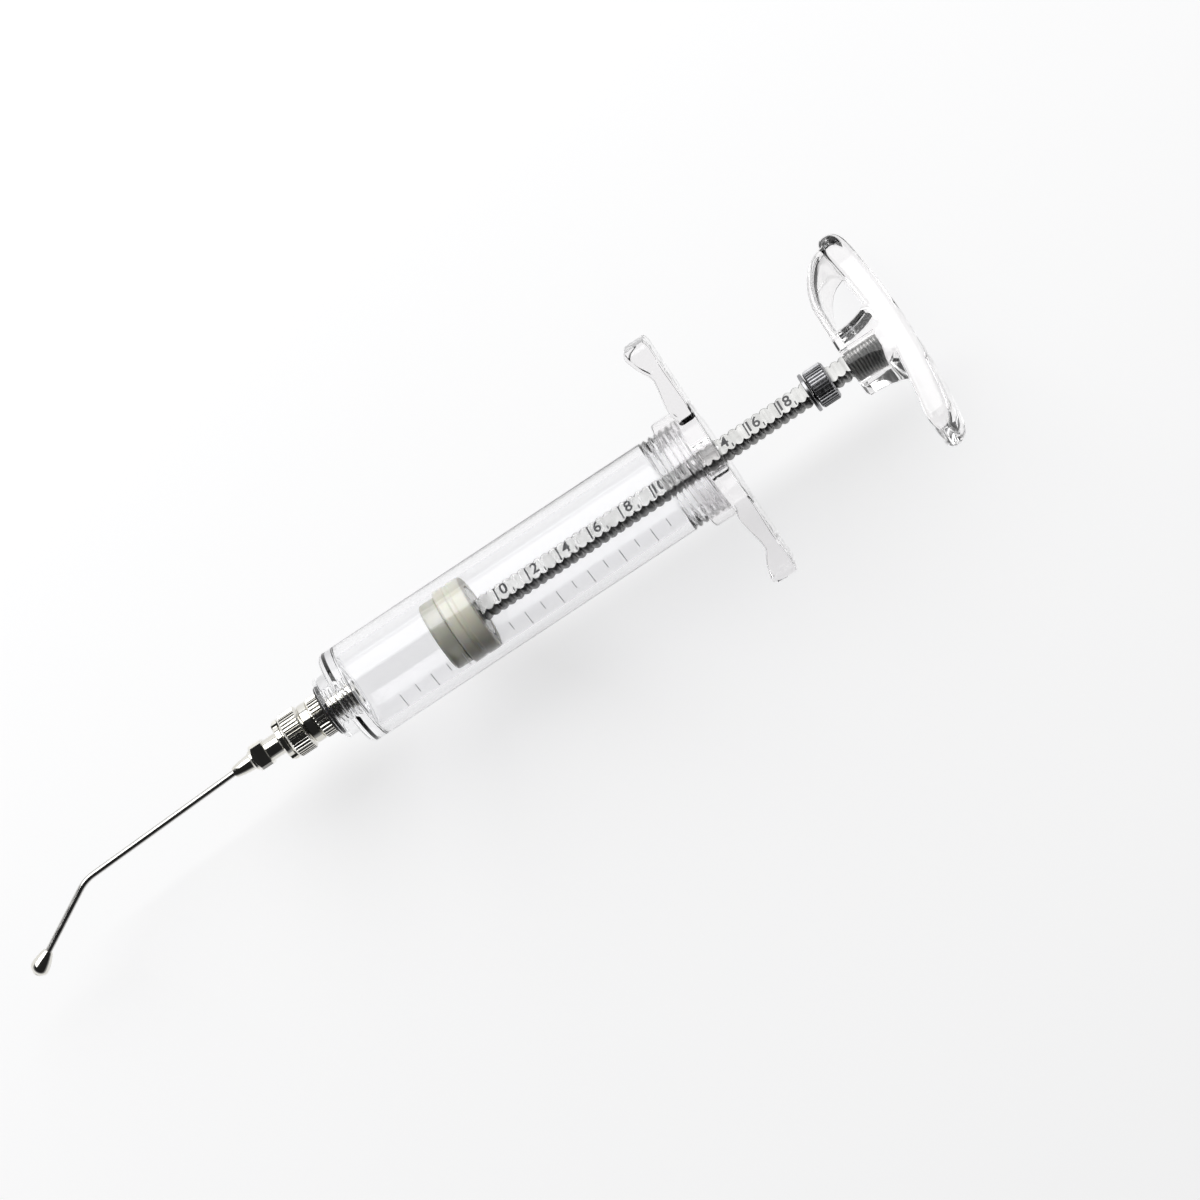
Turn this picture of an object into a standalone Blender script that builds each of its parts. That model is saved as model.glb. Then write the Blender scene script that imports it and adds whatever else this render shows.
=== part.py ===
"""A reusable 20 ml dosing syringe with finger grip, palm handle and bent ball-tip cannula.

Frame: +X runs along the barrel's axis from the cannula to the palm handle, +Y along the
finger grip's upper wing, +Z up. The origin is the centre of the whole object's box, which
lies on the barrel's axis. Each moving group hangs on an empty that sits on that axis.
Units are metres. Neighbouring pieces keep a gap of about 0.3 mm.
"""

from math import cos, pi, radians, sin, sqrt, tau

import bpy
from mathutils import Matrix, Vector
from numpy import interp

# ---------------------------------------------------------------- driving dimensions

GAP = 0.0003

# Barrel
BARREL_RADIUS = 0.01105
BORE_RADIUS = 0.00892
BORE_BOTTOM_X = -0.02445
BARREL_REAR_X = 0.0646
SHOULDER_X = -0.0277
SHOULDER_FILLET = 0.0012
BOSS_RADIUS = 0.0073
BOSS_FRONT_X = -0.03155
BOSS_CHAMFER = 0.0004
BORE_BOTTOM_CHAMFER = 0.0006
STEM_HOLE_RADIUS = 0.0030
GASKET_SEAT_RADIUS = 0.0062
GASKET_SEAT_DEPTH = 0.0009

# Nozzle end
GASKET_THICKNESS = 0.00125
GASKET_RADIUS = 0.0059
STEM_RADIUS = 0.0027
STEM_END_X = -0.02455
FLUID_BORE_RADIUS = 0.0010
FLANGE_RADIUS = 0.00483
FLANGE_FRONT_X = -0.0350
FLANGE_TEETH = 36
FLANGE_KNURL_DEPTH = 0.00015
NECK_RADIUS = 0.0046
NECK_FRONT_X = -0.0374
SPIGOT_RADIUS = 0.0030
SPIGOT_FRONT_X = -0.0386
LUER_RADIUS_BASE = 0.0019
LUER_RADIUS_TIP = 0.00175
LUER_TIP_X = -0.0444
COLLAR_RADIUS = 0.00515
COLLAR_REAR_X = -0.0377
COLLAR_FRONT_X = -0.0424
COLLAR_LUG_RADIUS = 0.00405
COLLAR_BEVEL = 0.00055
COLLAR_BEVEL_DROP = 0.0004
COLLAR_TEETH = 40
KNURL_DEPTH = 0.00025

# Cannula hub, tube and ball
HUB_SLEEVE_REAR_X = -0.0393
HUB_SLEEVE_RADIUS = 0.0035
HUB_FLANGE_REAR_X = -0.0427
HUB_FLANGE_FRONT_X = -0.0442
HUB_FLANGE_RADIUS = 0.0040
HUB_LUG_RADIUS = 0.0048
HUB_LUG_ROOT = 0.0030
HUB_LUG_WIDTH = 0.0032
HUB_LUG_TIP_SHARE = 0.55
HUB_NECK_RADIUS = 0.0025
HUB_BLOCK_REAR_X = -0.0477
HUB_BLOCK_FRONT_X = -0.0515
HUB_BLOCK_WIDTH = 0.0059
HUB_BLOCK_CHAMFER = 0.0006
HUB_BLOCK_ROLL = -7.0
HUB_CONE_RADIUS = 0.00195
HUB_TIP_X = -0.0564
HUB_TIP_RADIUS = 0.0013
HUB_SOCKET_RADIUS = 0.00225
HUB_SOCKET_END_X = -0.0447
HUB_TUBE_BORE_RADIUS = 0.0010
TUBE_RADIUS = 0.00073
TUBE_BORE_RADIUS = 0.0004
TUBE_START_X = -0.0485
TUBE_SET_ANGLE = 2.3
TUBE_SET_RADIUS = 0.010
TUBE_END_ANGLE = 28.7
TUBE_BEND_RADIUS = 0.0093
TUBE_STRAIGHT_IN_HUB = 0.0082
TUBE_MIDDLE_LENGTH = 0.0372
TUBE_TIP_LENGTH = 0.01786
BALL_LENGTH = 0.0057
BALL_RADIUS = 0.00205
BALL_PROFILE = (
    (0.0, 0.34),
    (0.02, 0.64),
    (0.10, 0.87),
    (0.24, 0.99),
    (0.40, 1.0),
    (0.60, 0.90),
    (0.80, 0.73),
    (0.95, 0.60),
    (1.0, 0.52),
)
BALL_SOCKET_RADIUS = 0.00098
BALL_SOCKET_DEPTH = 0.0026
BALL_TO_TUBE_END = 0.0024

# Piston
PISTON_FRONT_X = -0.0035
FRONT_PLATE_RADIUS = 0.0080
FRONT_PLATE_LENGTH = 0.0041
FRONT_PLATE_HOLE_DEPTH = 0.0031
FRONT_PLATE_CHAMFER = 0.0007
SEAL_REAR_X = 0.00725
SEAL_RADIUS = BORE_RADIUS - GAP
SEAL_GROOVE_DEPTH = 0.0006
REAR_PLATE_RADIUS = 0.0062
REAR_PLATE_LENGTH = 0.0020
ROD_STUD_RADIUS = 0.0022
ROD_STUD_HOLE_RADIUS = 0.0025

# Plunger rod, dose nut and palm handle, turned together about the barrel's axis
PLUNGER_ROLL = -36.5
ROD_RADIUS = 0.0028
ROD_FLAT_HALF = 0.00183
ROD_SHOULDER_X = 0.00755
ROD_FLATS_END_X = 0.10145
ROD_END_STUD_RADIUS = 0.0025
ROD_END_FLAT_HALF = 0.0018
ROD_END_X = 0.1101
STOP_WASHER_FRONT_X = 0.0913
STOP_WASHER_THICKNESS = 0.0008
STOP_WASHER_RADIUS = 0.0046
DOSE_NUT_FRONT_X = 0.0924
DOSE_NUT_REAR_X = 0.0971
DOSE_NUT_RADIUS = 0.0045
DOSE_NUT_TEETH = 38
DOSE_NUT_CHAMFER = 0.0004
RUNNING_BORE_RADIUS = ROD_RADIUS + GAP

# Finger grip
GRIP_COLLAR_RADIUS = 0.0129
GRIP_FRONT_X = 0.0595
GRIP_REAR_X = 0.0692
GRIP_INNER_WALL_X = 0.0649
GRIP_BORE_RADIUS = BARREL_RADIUS + GAP
GRIP_ROD_HOLE_RADIUS = 0.0032
GRIP_CHAMFER = 0.0005
WING_SPAN_HALF = 0.0295
WING_ROOT = 0.0088
WING_DEPTH_HALF = 0.0082
WING_FRONT_EDGE = (
    (0.0088, 0.0652),
    (0.0114, 0.0652),
    (0.0129, 0.0646),
    (0.0165, 0.0650),
    (0.0200, 0.0656),
    (0.0220, 0.0656),
    (0.0245, 0.0643),
    (0.0270, 0.0634),
    (0.0295, 0.0628),
)
WING_CORNER_RADIUS = 0.0009
WING_END_ROUNDING = 0.0020

# Palm handle
HANDLE_FRONT_X = 0.10175
HANDLE_REAR_X = 0.11745
HANDLE_WIDTH_HALF = 0.0075
BOSS_HALF_HEIGHT_FRONT = 0.0059
BOSS_HALF_HEIGHT_REAR = 0.0076
BOSS_CORNER_RADIUS = 0.0032
BOSS_REAR_X = 0.1134
ARM_REACH = 0.0277
ARM_FRONT_X = 0.1121
ARM_FRONT_SWEEP = 0.0029
ARM_REAR_SWEEP = 0.0024
ARM_CORNER_RADIUS = 0.0016
ARM_END_ROUNDING = 0.0027
BOSS_PROFILE = ((0.0, -0.0005), (0.0005, 0.0), (0.004, 0.0005), (0.0078, 0.0017))
BOSS_REAR_FLARE = 0.0022
STUD_HOLE_OVERRUN = 0.002
BOSS_REAR_INSET = 0.0004
RIBBON_THICKNESS = 0.0017
RIBBON_WIDTH_HALF = 0.0072
RIBBON_CORNER_RADIUS = 0.0007
RIBBON_OUTER_EDGE = (
    (0.0020, 0.10185),
    (0.0120, 0.10185),
    (0.0150, 0.1023),
    (0.0180, 0.1033),
    (0.0202, 0.1045),
    (0.0219, 0.1058),
    (0.0231, 0.1072),
    (0.0239, 0.1088),
    (0.0246, 0.1106),
    (0.0253, 0.1124),
)

# Mesh fineness
LARGE_ROUND = 40
SMALL_ROUND = 24
CORNER_STEPS = 3

# ---------------------------------------------------------------- colours

MATERIALS = {
    "clear_plastic": ((0.86, 0.89, 0.90, 1.0), 0.08, 0.0),
    "gasket_rubber": ((0.02, 0.02, 0.02, 1.0), 0.60, 0.0),
    "chromed_brass": ((0.72, 0.71, 0.69, 1.0), 0.15, 1.0),
    "stainless_tube": ((0.62, 0.62, 0.61, 1.0), 0.22, 1.0),
    "piston_silicone": ((0.80, 0.74, 0.58, 1.0), 0.45, 0.0),
    "piston_plastic": ((0.72, 0.70, 0.55, 1.0), 0.30, 0.0),
    "rod_steel": ((0.66, 0.65, 0.63, 1.0), 0.28, 1.0),
    "nut_steel": ((0.10, 0.10, 0.11, 1.0), 0.35, 1.0),
}


# ---------------------------------------------------------------- mesh helpers

def clear_scene():
    for old in list(bpy.data.objects):
        bpy.data.objects.remove(old, do_unlink=True)


def principled(name):
    colour, roughness, metallic = MATERIALS[name]
    material = bpy.data.materials.new(name)
    material.use_nodes = True
    shader = material.node_tree.nodes["Principled BSDF"]
    shader.inputs["Base Color"].default_value = colour
    shader.inputs["Roughness"].default_value = roughness
    shader.inputs["Metallic"].default_value = metallic
    if name == "clear_plastic":
        shader.inputs["Transmission Weight"].default_value = 0.9
    return material


def axis_empty(name, x, roll_degrees=0.0):
    empty = bpy.data.objects.new(name, None)
    empty.location = (x, 0.0, 0.0)
    empty.rotation_euler = (radians(roll_degrees), 0.0, 0.0)
    bpy.context.scene.collection.objects.link(empty)
    return empty


def ring(x, radius, count, notch=0.0, flat=None):
    """Points of a circle across the X axis; every second one is notched, |z| is cut at flat."""
    points = []
    for index in range(count):
        angle = tau * index / count
        r = radius - notch * (index % 2)
        z = r * sin(angle)
        if flat is not None:
            z = max(-flat, min(flat, z))
        points.append(Vector((x, r * cos(angle), z)))
    return points


def corner_points(half_u, half_v, radius):
    """Outline of a rounded rectangle, as (u, v) pairs, counter-clockwise."""
    points = []
    for corner, (sign_u, sign_v) in enumerate(((1, 1), (-1, 1), (-1, -1), (1, -1))):
        for step in range(CORNER_STEPS + 1):
            angle = pi / 2 * (corner + step / CORNER_STEPS)
            u = sign_u * (half_u - radius) + radius * cos(angle)
            v = sign_v * (half_v - radius) + radius * sin(angle)
            points.append((u, v))
    return points


def skin(name, rings, material, closed):
    """Join rings of points into one solid: a closed loop of rings, or a stack with two caps."""
    count = len(rings[0])
    vertices = [point for points in rings for point in points]
    faces = []
    pairs = len(rings) if closed else len(rings) - 1
    for row in range(pairs):
        low = row * count
        high = (row + 1) % len(rings) * count
        for column in range(count):
            beside = (column + 1) % count
            faces.append((low + column, low + beside, high + beside, high + column))
    if not closed:
        last = (len(rings) - 1) * count
        faces.append(tuple(reversed(range(count))))
        faces.append(tuple(range(last, last + count)))
    mesh = bpy.data.meshes.new(name)
    mesh.from_pydata(vertices, [], faces)
    if mesh_volume(mesh) < 0.0:
        mesh.flip_normals()
    mesh.materials.append(material)
    mesh.shade_smooth()
    mesh.set_sharp_from_angle(angle=radians(32))
    node = bpy.data.objects.new(name, mesh)
    bpy.context.scene.collection.objects.link(node)
    return node


def mesh_volume(mesh):
    mesh.calc_loop_triangles()
    points = mesh.vertices
    total = 0.0
    for triangle in mesh.loop_triangles:
        a, b, c = (points[index].co for index in triangle.vertices)
        total += a.dot(b.cross(c)) / 6.0
    return total


def turned(name, outline, material, count=SMALL_ROUND, closed=True, notch=0.0):
    """Turn an outline of (x, radius) or (x, radius, knurled) points about the X axis."""
    rings = []
    for station in outline:
        depth = notch if len(station) > 2 else 0.0
        rings.append(ring(station[0], station[1], count, notch=depth))
    return skin(name, rings, material, closed)


def fillet(x, radius, size, start, end, steps=4):
    """Points of an arc of the given size about (x, radius), from start to end degrees."""
    points = []
    for step in range(steps + 1):
        angle = radians(start + (end - start) * step / steps)
        points.append((x + size * cos(angle), radius + size * sin(angle)))
    return points


def combine(node, form, operation):
    """Add a form to a node, or cut it away, and keep the form as a wire guide."""
    boolean = node.modifiers.new(form.name, "BOOLEAN")
    boolean.operation = operation
    boolean.solver = "EXACT"
    boolean.object = form
    form.hide_render = True
    form.display_type = "WIRE"
    form.parent = node


def hang(node, parent):
    """Parent a node to its axis empty and keep it where it was modelled in that empty's roll."""
    node.parent = parent
    node.location = (-parent.matrix_basis.translation.x, 0.0, 0.0)


# ---------------------------------------------------------------- barrel and nozzle

def make_barrel(material):
    outline = [
        (BOSS_FRONT_X, GASKET_SEAT_RADIUS),
        (BOSS_FRONT_X, BOSS_RADIUS - BOSS_CHAMFER),
        (BOSS_FRONT_X + BOSS_CHAMFER, BOSS_RADIUS),
        (SHOULDER_X, BOSS_RADIUS),
    ]
    corner_x = SHOULDER_X + SHOULDER_FILLET
    outline += fillet(corner_x, BARREL_RADIUS - SHOULDER_FILLET, SHOULDER_FILLET, 180, 90)
    outline += [
        (BARREL_REAR_X, BARREL_RADIUS),
        (BARREL_REAR_X, BORE_RADIUS),
        (BORE_BOTTOM_X + BORE_BOTTOM_CHAMFER, BORE_RADIUS),
        (BORE_BOTTOM_X, BORE_RADIUS - BORE_BOTTOM_CHAMFER),
        (BORE_BOTTOM_X, STEM_HOLE_RADIUS),
        (BOSS_FRONT_X + GASKET_SEAT_DEPTH, STEM_HOLE_RADIUS),
        (BOSS_FRONT_X + GASKET_SEAT_DEPTH, GASKET_SEAT_RADIUS),
    ]
    return turned("barrel", outline, material, LARGE_ROUND)


def make_nozzle_gasket(material):
    rear = BOSS_FRONT_X + GASKET_SEAT_DEPTH - GAP
    front = rear - GASKET_THICKNESS
    outline = [
        (front, STEM_HOLE_RADIUS),
        (front, GASKET_RADIUS),
        (rear, GASKET_RADIUS),
        (rear, STEM_HOLE_RADIUS),
    ]
    return turned("nozzle_gasket", outline, material)


def make_nozzle(material):
    gasket_front = BOSS_FRONT_X + GASKET_SEAT_DEPTH - GAP - GASKET_THICKNESS
    flange_rear = gasket_front - GAP
    outline = [
        (LUER_TIP_X, FLUID_BORE_RADIUS),
        (LUER_TIP_X, LUER_RADIUS_TIP),
        (SPIGOT_FRONT_X, LUER_RADIUS_BASE),
        (SPIGOT_FRONT_X, SPIGOT_RADIUS),
        (NECK_FRONT_X, SPIGOT_RADIUS),
        (NECK_FRONT_X, NECK_RADIUS),
        (FLANGE_FRONT_X, NECK_RADIUS),
        (FLANGE_FRONT_X, FLANGE_RADIUS, True),
        (flange_rear, FLANGE_RADIUS, True),
        (flange_rear, STEM_RADIUS),
        (STEM_END_X, STEM_RADIUS),
        (STEM_END_X, FLUID_BORE_RADIUS),
    ]
    return turned("nozzle", outline, material, 2 * FLANGE_TEETH, notch=FLANGE_KNURL_DEPTH)


def make_luer_lock_collar(material):
    seat = SPIGOT_FRONT_X - GAP
    inner = SPIGOT_RADIUS + GAP
    outline = [
        (COLLAR_FRONT_X, COLLAR_LUG_RADIUS),
        (COLLAR_FRONT_X, COLLAR_RADIUS - COLLAR_BEVEL_DROP),
        (COLLAR_FRONT_X + COLLAR_BEVEL, COLLAR_RADIUS, True),
        (COLLAR_REAR_X - COLLAR_BEVEL, COLLAR_RADIUS, True),
        (COLLAR_REAR_X, COLLAR_RADIUS - COLLAR_BEVEL_DROP),
        (COLLAR_REAR_X, inner),
        (seat, inner),
        (seat, COLLAR_LUG_RADIUS),
    ]
    return turned("luer_lock_collar", outline, material, 2 * COLLAR_TEETH, notch=KNURL_DEPTH)


# ---------------------------------------------------------------- needle

def lug_form(name, side, material):
    """A lug of the hub flange: a block that narrows towards its outer end."""
    middle = (HUB_FLANGE_REAR_X + HUB_FLANGE_FRONT_X) / 2
    length = HUB_FLANGE_REAR_X - HUB_FLANGE_FRONT_X
    rings = []
    for reach, share in ((HUB_LUG_ROOT, 1.0), (HUB_LUG_RADIUS, HUB_LUG_TIP_SHARE)):
        half_x = length / 2 * share
        half_z = HUB_LUG_WIDTH / 2 * share
        corners = ((-half_x, -half_z), (half_x, -half_z), (half_x, half_z), (-half_x, half_z))
        rings.append([Vector((middle + u, side * reach, v)) for u, v in corners])
    return skin(name, rings, material, closed=False)


def make_needle_hub(material):
    outline = [
        (HUB_TIP_X, HUB_TUBE_BORE_RADIUS),
        (HUB_TIP_X, HUB_TIP_RADIUS),
        (HUB_BLOCK_FRONT_X, HUB_CONE_RADIUS),
        (HUB_BLOCK_FRONT_X, HUB_NECK_RADIUS),
        (HUB_FLANGE_FRONT_X, HUB_NECK_RADIUS),
        (HUB_FLANGE_FRONT_X, HUB_FLANGE_RADIUS),
        (HUB_FLANGE_REAR_X, HUB_FLANGE_RADIUS),
        (HUB_FLANGE_REAR_X, HUB_SLEEVE_RADIUS),
        (HUB_SLEEVE_REAR_X, HUB_SLEEVE_RADIUS),
        (HUB_SLEEVE_REAR_X, HUB_SOCKET_RADIUS),
        (HUB_SOCKET_END_X, HUB_SOCKET_RADIUS),
        (HUB_SOCKET_END_X, HUB_TUBE_BORE_RADIUS),
    ]
    hub = turned("needle_hub", outline, material)
    combine(hub, key_block_form(material), "UNION")
    combine(hub, lug_form("hub_lug_form_upper", 1, material), "UNION")
    combine(hub, lug_form("hub_lug_form_lower", -1, material), "UNION")
    return hub


def key_block_form(material):
    """The square key block with chamfered corners, as a frame round the hub's neck."""
    half = HUB_BLOCK_WIDTH / 2
    inner = HUB_NECK_RADIUS * 0.7
    short = half - HUB_BLOCK_CHAMFER
    corners = ((half, short), (short, half), (-short, half), (-half, short))
    outline = list(corners) + [(-u, -v) for u, v in corners]
    roll = Matrix.Rotation(radians(HUB_BLOCK_ROLL), 3, "X")
    rear = HUB_BLOCK_REAR_X
    front = HUB_BLOCK_FRONT_X + GAP
    rings = []
    for x, scale in ((front, 1.0), (rear, 1.0), (rear, inner / half), (front, inner / half)):
        rings.append([roll @ Vector((x, u * scale, v * scale)) for u, v in outline])
    return skin("key_block_form", rings, material, closed=True)


def tube_route():
    """Stations (point, heading) of the cannula's centre line, which lies in the XY plane."""
    point = Vector((TUBE_START_X, 0.0, 0.0))
    heading = 0.0
    stations = [(point.copy(), heading)]
    bend_angle = TUBE_END_ANGLE - TUBE_SET_ANGLE
    stretches = (
        (TUBE_STRAIGHT_IN_HUB, 0.0, 1),
        (TUBE_SET_RADIUS * radians(TUBE_SET_ANGLE), TUBE_SET_ANGLE, 2),
        (TUBE_MIDDLE_LENGTH, 0.0, 1),
        (TUBE_BEND_RADIUS * radians(bend_angle), bend_angle, 8),
        (TUBE_TIP_LENGTH, 0.0, 1),
    )
    for length, turn, steps in stretches:
        for _ in range(steps):
            heading += radians(turn) / steps / 2
            point += Vector((-cos(heading), -sin(heading), 0.0)) * (length / steps)
            heading += radians(turn) / steps / 2
            stations.append((point.copy(), heading))
    return stations


def make_cannula(material):
    outer = []
    inner = []
    for point, heading in tube_route():
        across = Vector((-sin(heading), cos(heading), 0.0))
        up = Vector((0.0, 0.0, 1.0))
        for rings, radius in ((outer, TUBE_RADIUS), (inner, TUBE_BORE_RADIUS)):
            angles = [tau * index / 12 for index in range(12)]
            rings.append([point + across * radius * cos(a) + up * radius * sin(a) for a in angles])
    return skin("cannula", outer + inner[::-1], material, closed=True)


def make_ball_tip(material):
    """An olive turned about its own +X axis, which points back along the tube."""
    outline = [(share * BALL_LENGTH, width * BALL_RADIUS) for share, width in BALL_PROFILE]
    socket = BALL_LENGTH - BALL_SOCKET_DEPTH
    outline += [
        (BALL_LENGTH, BALL_SOCKET_RADIUS),
        (socket, BALL_SOCKET_RADIUS),
        (socket, TUBE_BORE_RADIUS),
        (0.0, TUBE_BORE_RADIUS),
    ]
    ball = turned("ball_tip", outline, material)
    point, heading = tube_route()[-1]
    ahead = Vector((-cos(heading), -sin(heading), 0.0))
    front = point + ahead * (BALL_LENGTH - BALL_TO_TUBE_END)
    ball.data.transform(Matrix.Translation(front) @ Matrix.Rotation(heading, 4, "Z"))
    return ball


# ---------------------------------------------------------------- piston and rod

def make_piston_front_plate(material):
    rear = PISTON_FRONT_X + FRONT_PLATE_LENGTH
    hole_end = rear - FRONT_PLATE_HOLE_DEPTH
    outline = [
        (hole_end, ROD_STUD_HOLE_RADIUS),
        (rear, ROD_STUD_HOLE_RADIUS),
        (rear, FRONT_PLATE_RADIUS),
        (PISTON_FRONT_X + FRONT_PLATE_CHAMFER, FRONT_PLATE_RADIUS),
        (PISTON_FRONT_X, FRONT_PLATE_RADIUS - FRONT_PLATE_CHAMFER),
    ]
    return turned("piston_front_plate", outline, material, LARGE_ROUND, closed=False)


def make_piston_seal(material):
    front = PISTON_FRONT_X + FRONT_PLATE_LENGTH + GAP
    recess = SEAL_REAR_X - REAR_PLATE_LENGTH - GAP
    groove = SEAL_RADIUS - SEAL_GROOVE_DEPTH
    length = SEAL_REAR_X - front
    outline = [
        (front, ROD_STUD_HOLE_RADIUS),
        (front, groove),
        (front + length * 0.08, SEAL_RADIUS),
        (front + length * 0.28, SEAL_RADIUS),
        (front + length * 0.40, groove),
        (front + length * 0.60, groove),
        (front + length * 0.72, SEAL_RADIUS),
        (SEAL_REAR_X, SEAL_RADIUS),
        (SEAL_REAR_X, REAR_PLATE_RADIUS + GAP),
        (recess, REAR_PLATE_RADIUS + GAP),
        (recess, ROD_STUD_HOLE_RADIUS),
    ]
    return turned("piston_seal", outline, material, LARGE_ROUND)


def make_piston_rear_plate(material):
    front = SEAL_REAR_X - REAR_PLATE_LENGTH
    outline = [
        (front, ROD_STUD_HOLE_RADIUS),
        (front, REAR_PLATE_RADIUS),
        (SEAL_REAR_X, REAR_PLATE_RADIUS),
        (SEAL_REAR_X, ROD_STUD_HOLE_RADIUS),
    ]
    return turned("piston_rear_plate", outline, material)


def make_plunger_rod(material):
    stud_front = PISTON_FRONT_X + FRONT_PLATE_LENGTH - FRONT_PLATE_HOLE_DEPTH + GAP
    rings = [
        ring(stud_front, ROD_STUD_RADIUS, SMALL_ROUND),
        ring(ROD_SHOULDER_X, ROD_STUD_RADIUS, SMALL_ROUND),
        ring(ROD_SHOULDER_X, ROD_RADIUS, SMALL_ROUND, flat=ROD_FLAT_HALF),
        ring(ROD_FLATS_END_X, ROD_RADIUS, SMALL_ROUND, flat=ROD_FLAT_HALF),
        ring(ROD_FLATS_END_X, ROD_END_STUD_RADIUS, SMALL_ROUND, flat=ROD_END_FLAT_HALF),
        ring(ROD_END_X, ROD_END_STUD_RADIUS, SMALL_ROUND, flat=ROD_END_FLAT_HALF),
    ]
    return skin("plunger_rod", rings, material, closed=False)


def make_stop_washer(material):
    """A thin disc whose hole has the rod's two flats, so it slides but does not turn."""
    front = STOP_WASHER_FRONT_X
    rear = front + STOP_WASHER_THICKNESS
    flat = ROD_FLAT_HALF + GAP
    rings = [
        ring(front, RUNNING_BORE_RADIUS, SMALL_ROUND, flat=flat),
        ring(front, STOP_WASHER_RADIUS, SMALL_ROUND),
        ring(rear, STOP_WASHER_RADIUS, SMALL_ROUND),
        ring(rear, RUNNING_BORE_RADIUS, SMALL_ROUND, flat=flat),
    ]
    return skin("stop_washer", rings, material, closed=True)


def make_dose_nut(material):
    outline = [
        (DOSE_NUT_FRONT_X, RUNNING_BORE_RADIUS),
        (DOSE_NUT_FRONT_X, DOSE_NUT_RADIUS - DOSE_NUT_CHAMFER),
        (DOSE_NUT_FRONT_X + DOSE_NUT_CHAMFER, DOSE_NUT_RADIUS, True),
        (DOSE_NUT_REAR_X - DOSE_NUT_CHAMFER, DOSE_NUT_RADIUS, True),
        (DOSE_NUT_REAR_X, DOSE_NUT_RADIUS - DOSE_NUT_CHAMFER),
        (DOSE_NUT_REAR_X, RUNNING_BORE_RADIUS),
    ]
    return turned("dose_nut", outline, material, 2 * DOSE_NUT_TEETH, notch=KNURL_DEPTH)


# ---------------------------------------------------------------- finger grip

def rounding(share):
    """How far a surface draws in towards an end, from 0 before it to 1 at the end itself."""
    return 1.0 - sqrt(max(0.0, 1.0 - share * share))


def wing_ring(reach, side):
    """Cross-section of a wing at a distance from the axis, in the XZ plane."""
    reaches, fronts = zip(*WING_FRONT_EDGE)
    end_share = max(0.0, 1.0 - (WING_SPAN_HALF - reach) / WING_END_ROUNDING)
    inset = WING_END_ROUNDING * rounding(end_share)
    front = float(interp(reach, reaches, fronts)) + inset * 0.8
    rear = GRIP_REAR_X - inset * 0.3
    outline = corner_points((rear - front) / 2, WING_DEPTH_HALF - inset, WING_CORNER_RADIUS)
    return [Vector(((front + rear) / 2 + u, side * reach, v)) for u, v in outline]


def wing_form(name, side, material):
    reaches = [reach for reach, _ in WING_FRONT_EDGE if reach < WING_SPAN_HALF - WING_END_ROUNDING]
    reaches += [WING_SPAN_HALF - WING_END_ROUNDING * share for share in (1.0, 0.55, 0.25, 0.07, 0.0)]
    rings = [wing_ring(reach, side) for reach in reaches]
    return skin(name, rings, material, closed=False)


def make_finger_grip(material):
    outline = [
        (GRIP_FRONT_X, GRIP_BORE_RADIUS),
        (GRIP_FRONT_X, GRIP_COLLAR_RADIUS - GRIP_CHAMFER),
        (GRIP_FRONT_X + GRIP_CHAMFER, GRIP_COLLAR_RADIUS),
        (GRIP_REAR_X, GRIP_COLLAR_RADIUS),
        (GRIP_REAR_X, GRIP_ROD_HOLE_RADIUS),
        (GRIP_INNER_WALL_X, GRIP_ROD_HOLE_RADIUS),
        (GRIP_INNER_WALL_X, GRIP_BORE_RADIUS),
    ]
    grip = turned("finger_grip", outline, material, LARGE_ROUND)
    combine(grip, wing_form("wing_form_upper", 1, material), "UNION")
    combine(grip, wing_form("wing_form_lower", -1, material), "UNION")
    return grip


# ---------------------------------------------------------------- palm handle

def arm_front(reach):
    return ARM_FRONT_X - ARM_FRONT_SWEEP * (abs(reach) / ARM_REACH) ** 1.6


def arm_rear(reach):
    return HANDLE_REAR_X - ARM_REAR_SWEEP * (reach / ARM_REACH) ** 2


def arm_ring(reach):
    """Cross-section of the crescent at a signed distance from the axis, in the XZ plane."""
    end_share = max(0.0, 1.0 - (ARM_REACH - abs(reach)) / (2 * ARM_END_ROUNDING))
    inset = ARM_END_ROUNDING * rounding(end_share)
    front = arm_front(reach) + inset * 0.85
    rear = arm_rear(reach) - inset * 0.85
    radius = min(ARM_CORNER_RADIUS, (rear - front) / 2.2)
    outline = corner_points((rear - front) / 2, HANDLE_WIDTH_HALF - inset * 1.3, radius)
    return [Vector(((front + rear) / 2 + u, reach, v)) for u, v in outline]


def boss_form(material):
    """The handle's boss: a rounded block that widens into the crescent."""
    rings = []
    for ahead, flare in BOSS_PROFILE:
        half = BOSS_HALF_HEIGHT_FRONT + flare
        outline = corner_points(half, HANDLE_WIDTH_HALF + min(flare, 0.0), BOSS_CORNER_RADIUS)
        rings.append([Vector((HANDLE_FRONT_X + ahead, u, v)) for u, v in outline])
    half = BOSS_HALF_HEIGHT_REAR + BOSS_REAR_FLARE
    outline = corner_points(half, HANDLE_WIDTH_HALF - BOSS_REAR_INSET, BOSS_CORNER_RADIUS)
    rings.append([Vector((BOSS_REAR_X, u, v)) for u, v in outline])
    return skin("handle_boss_form", rings, material, closed=False)


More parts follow.
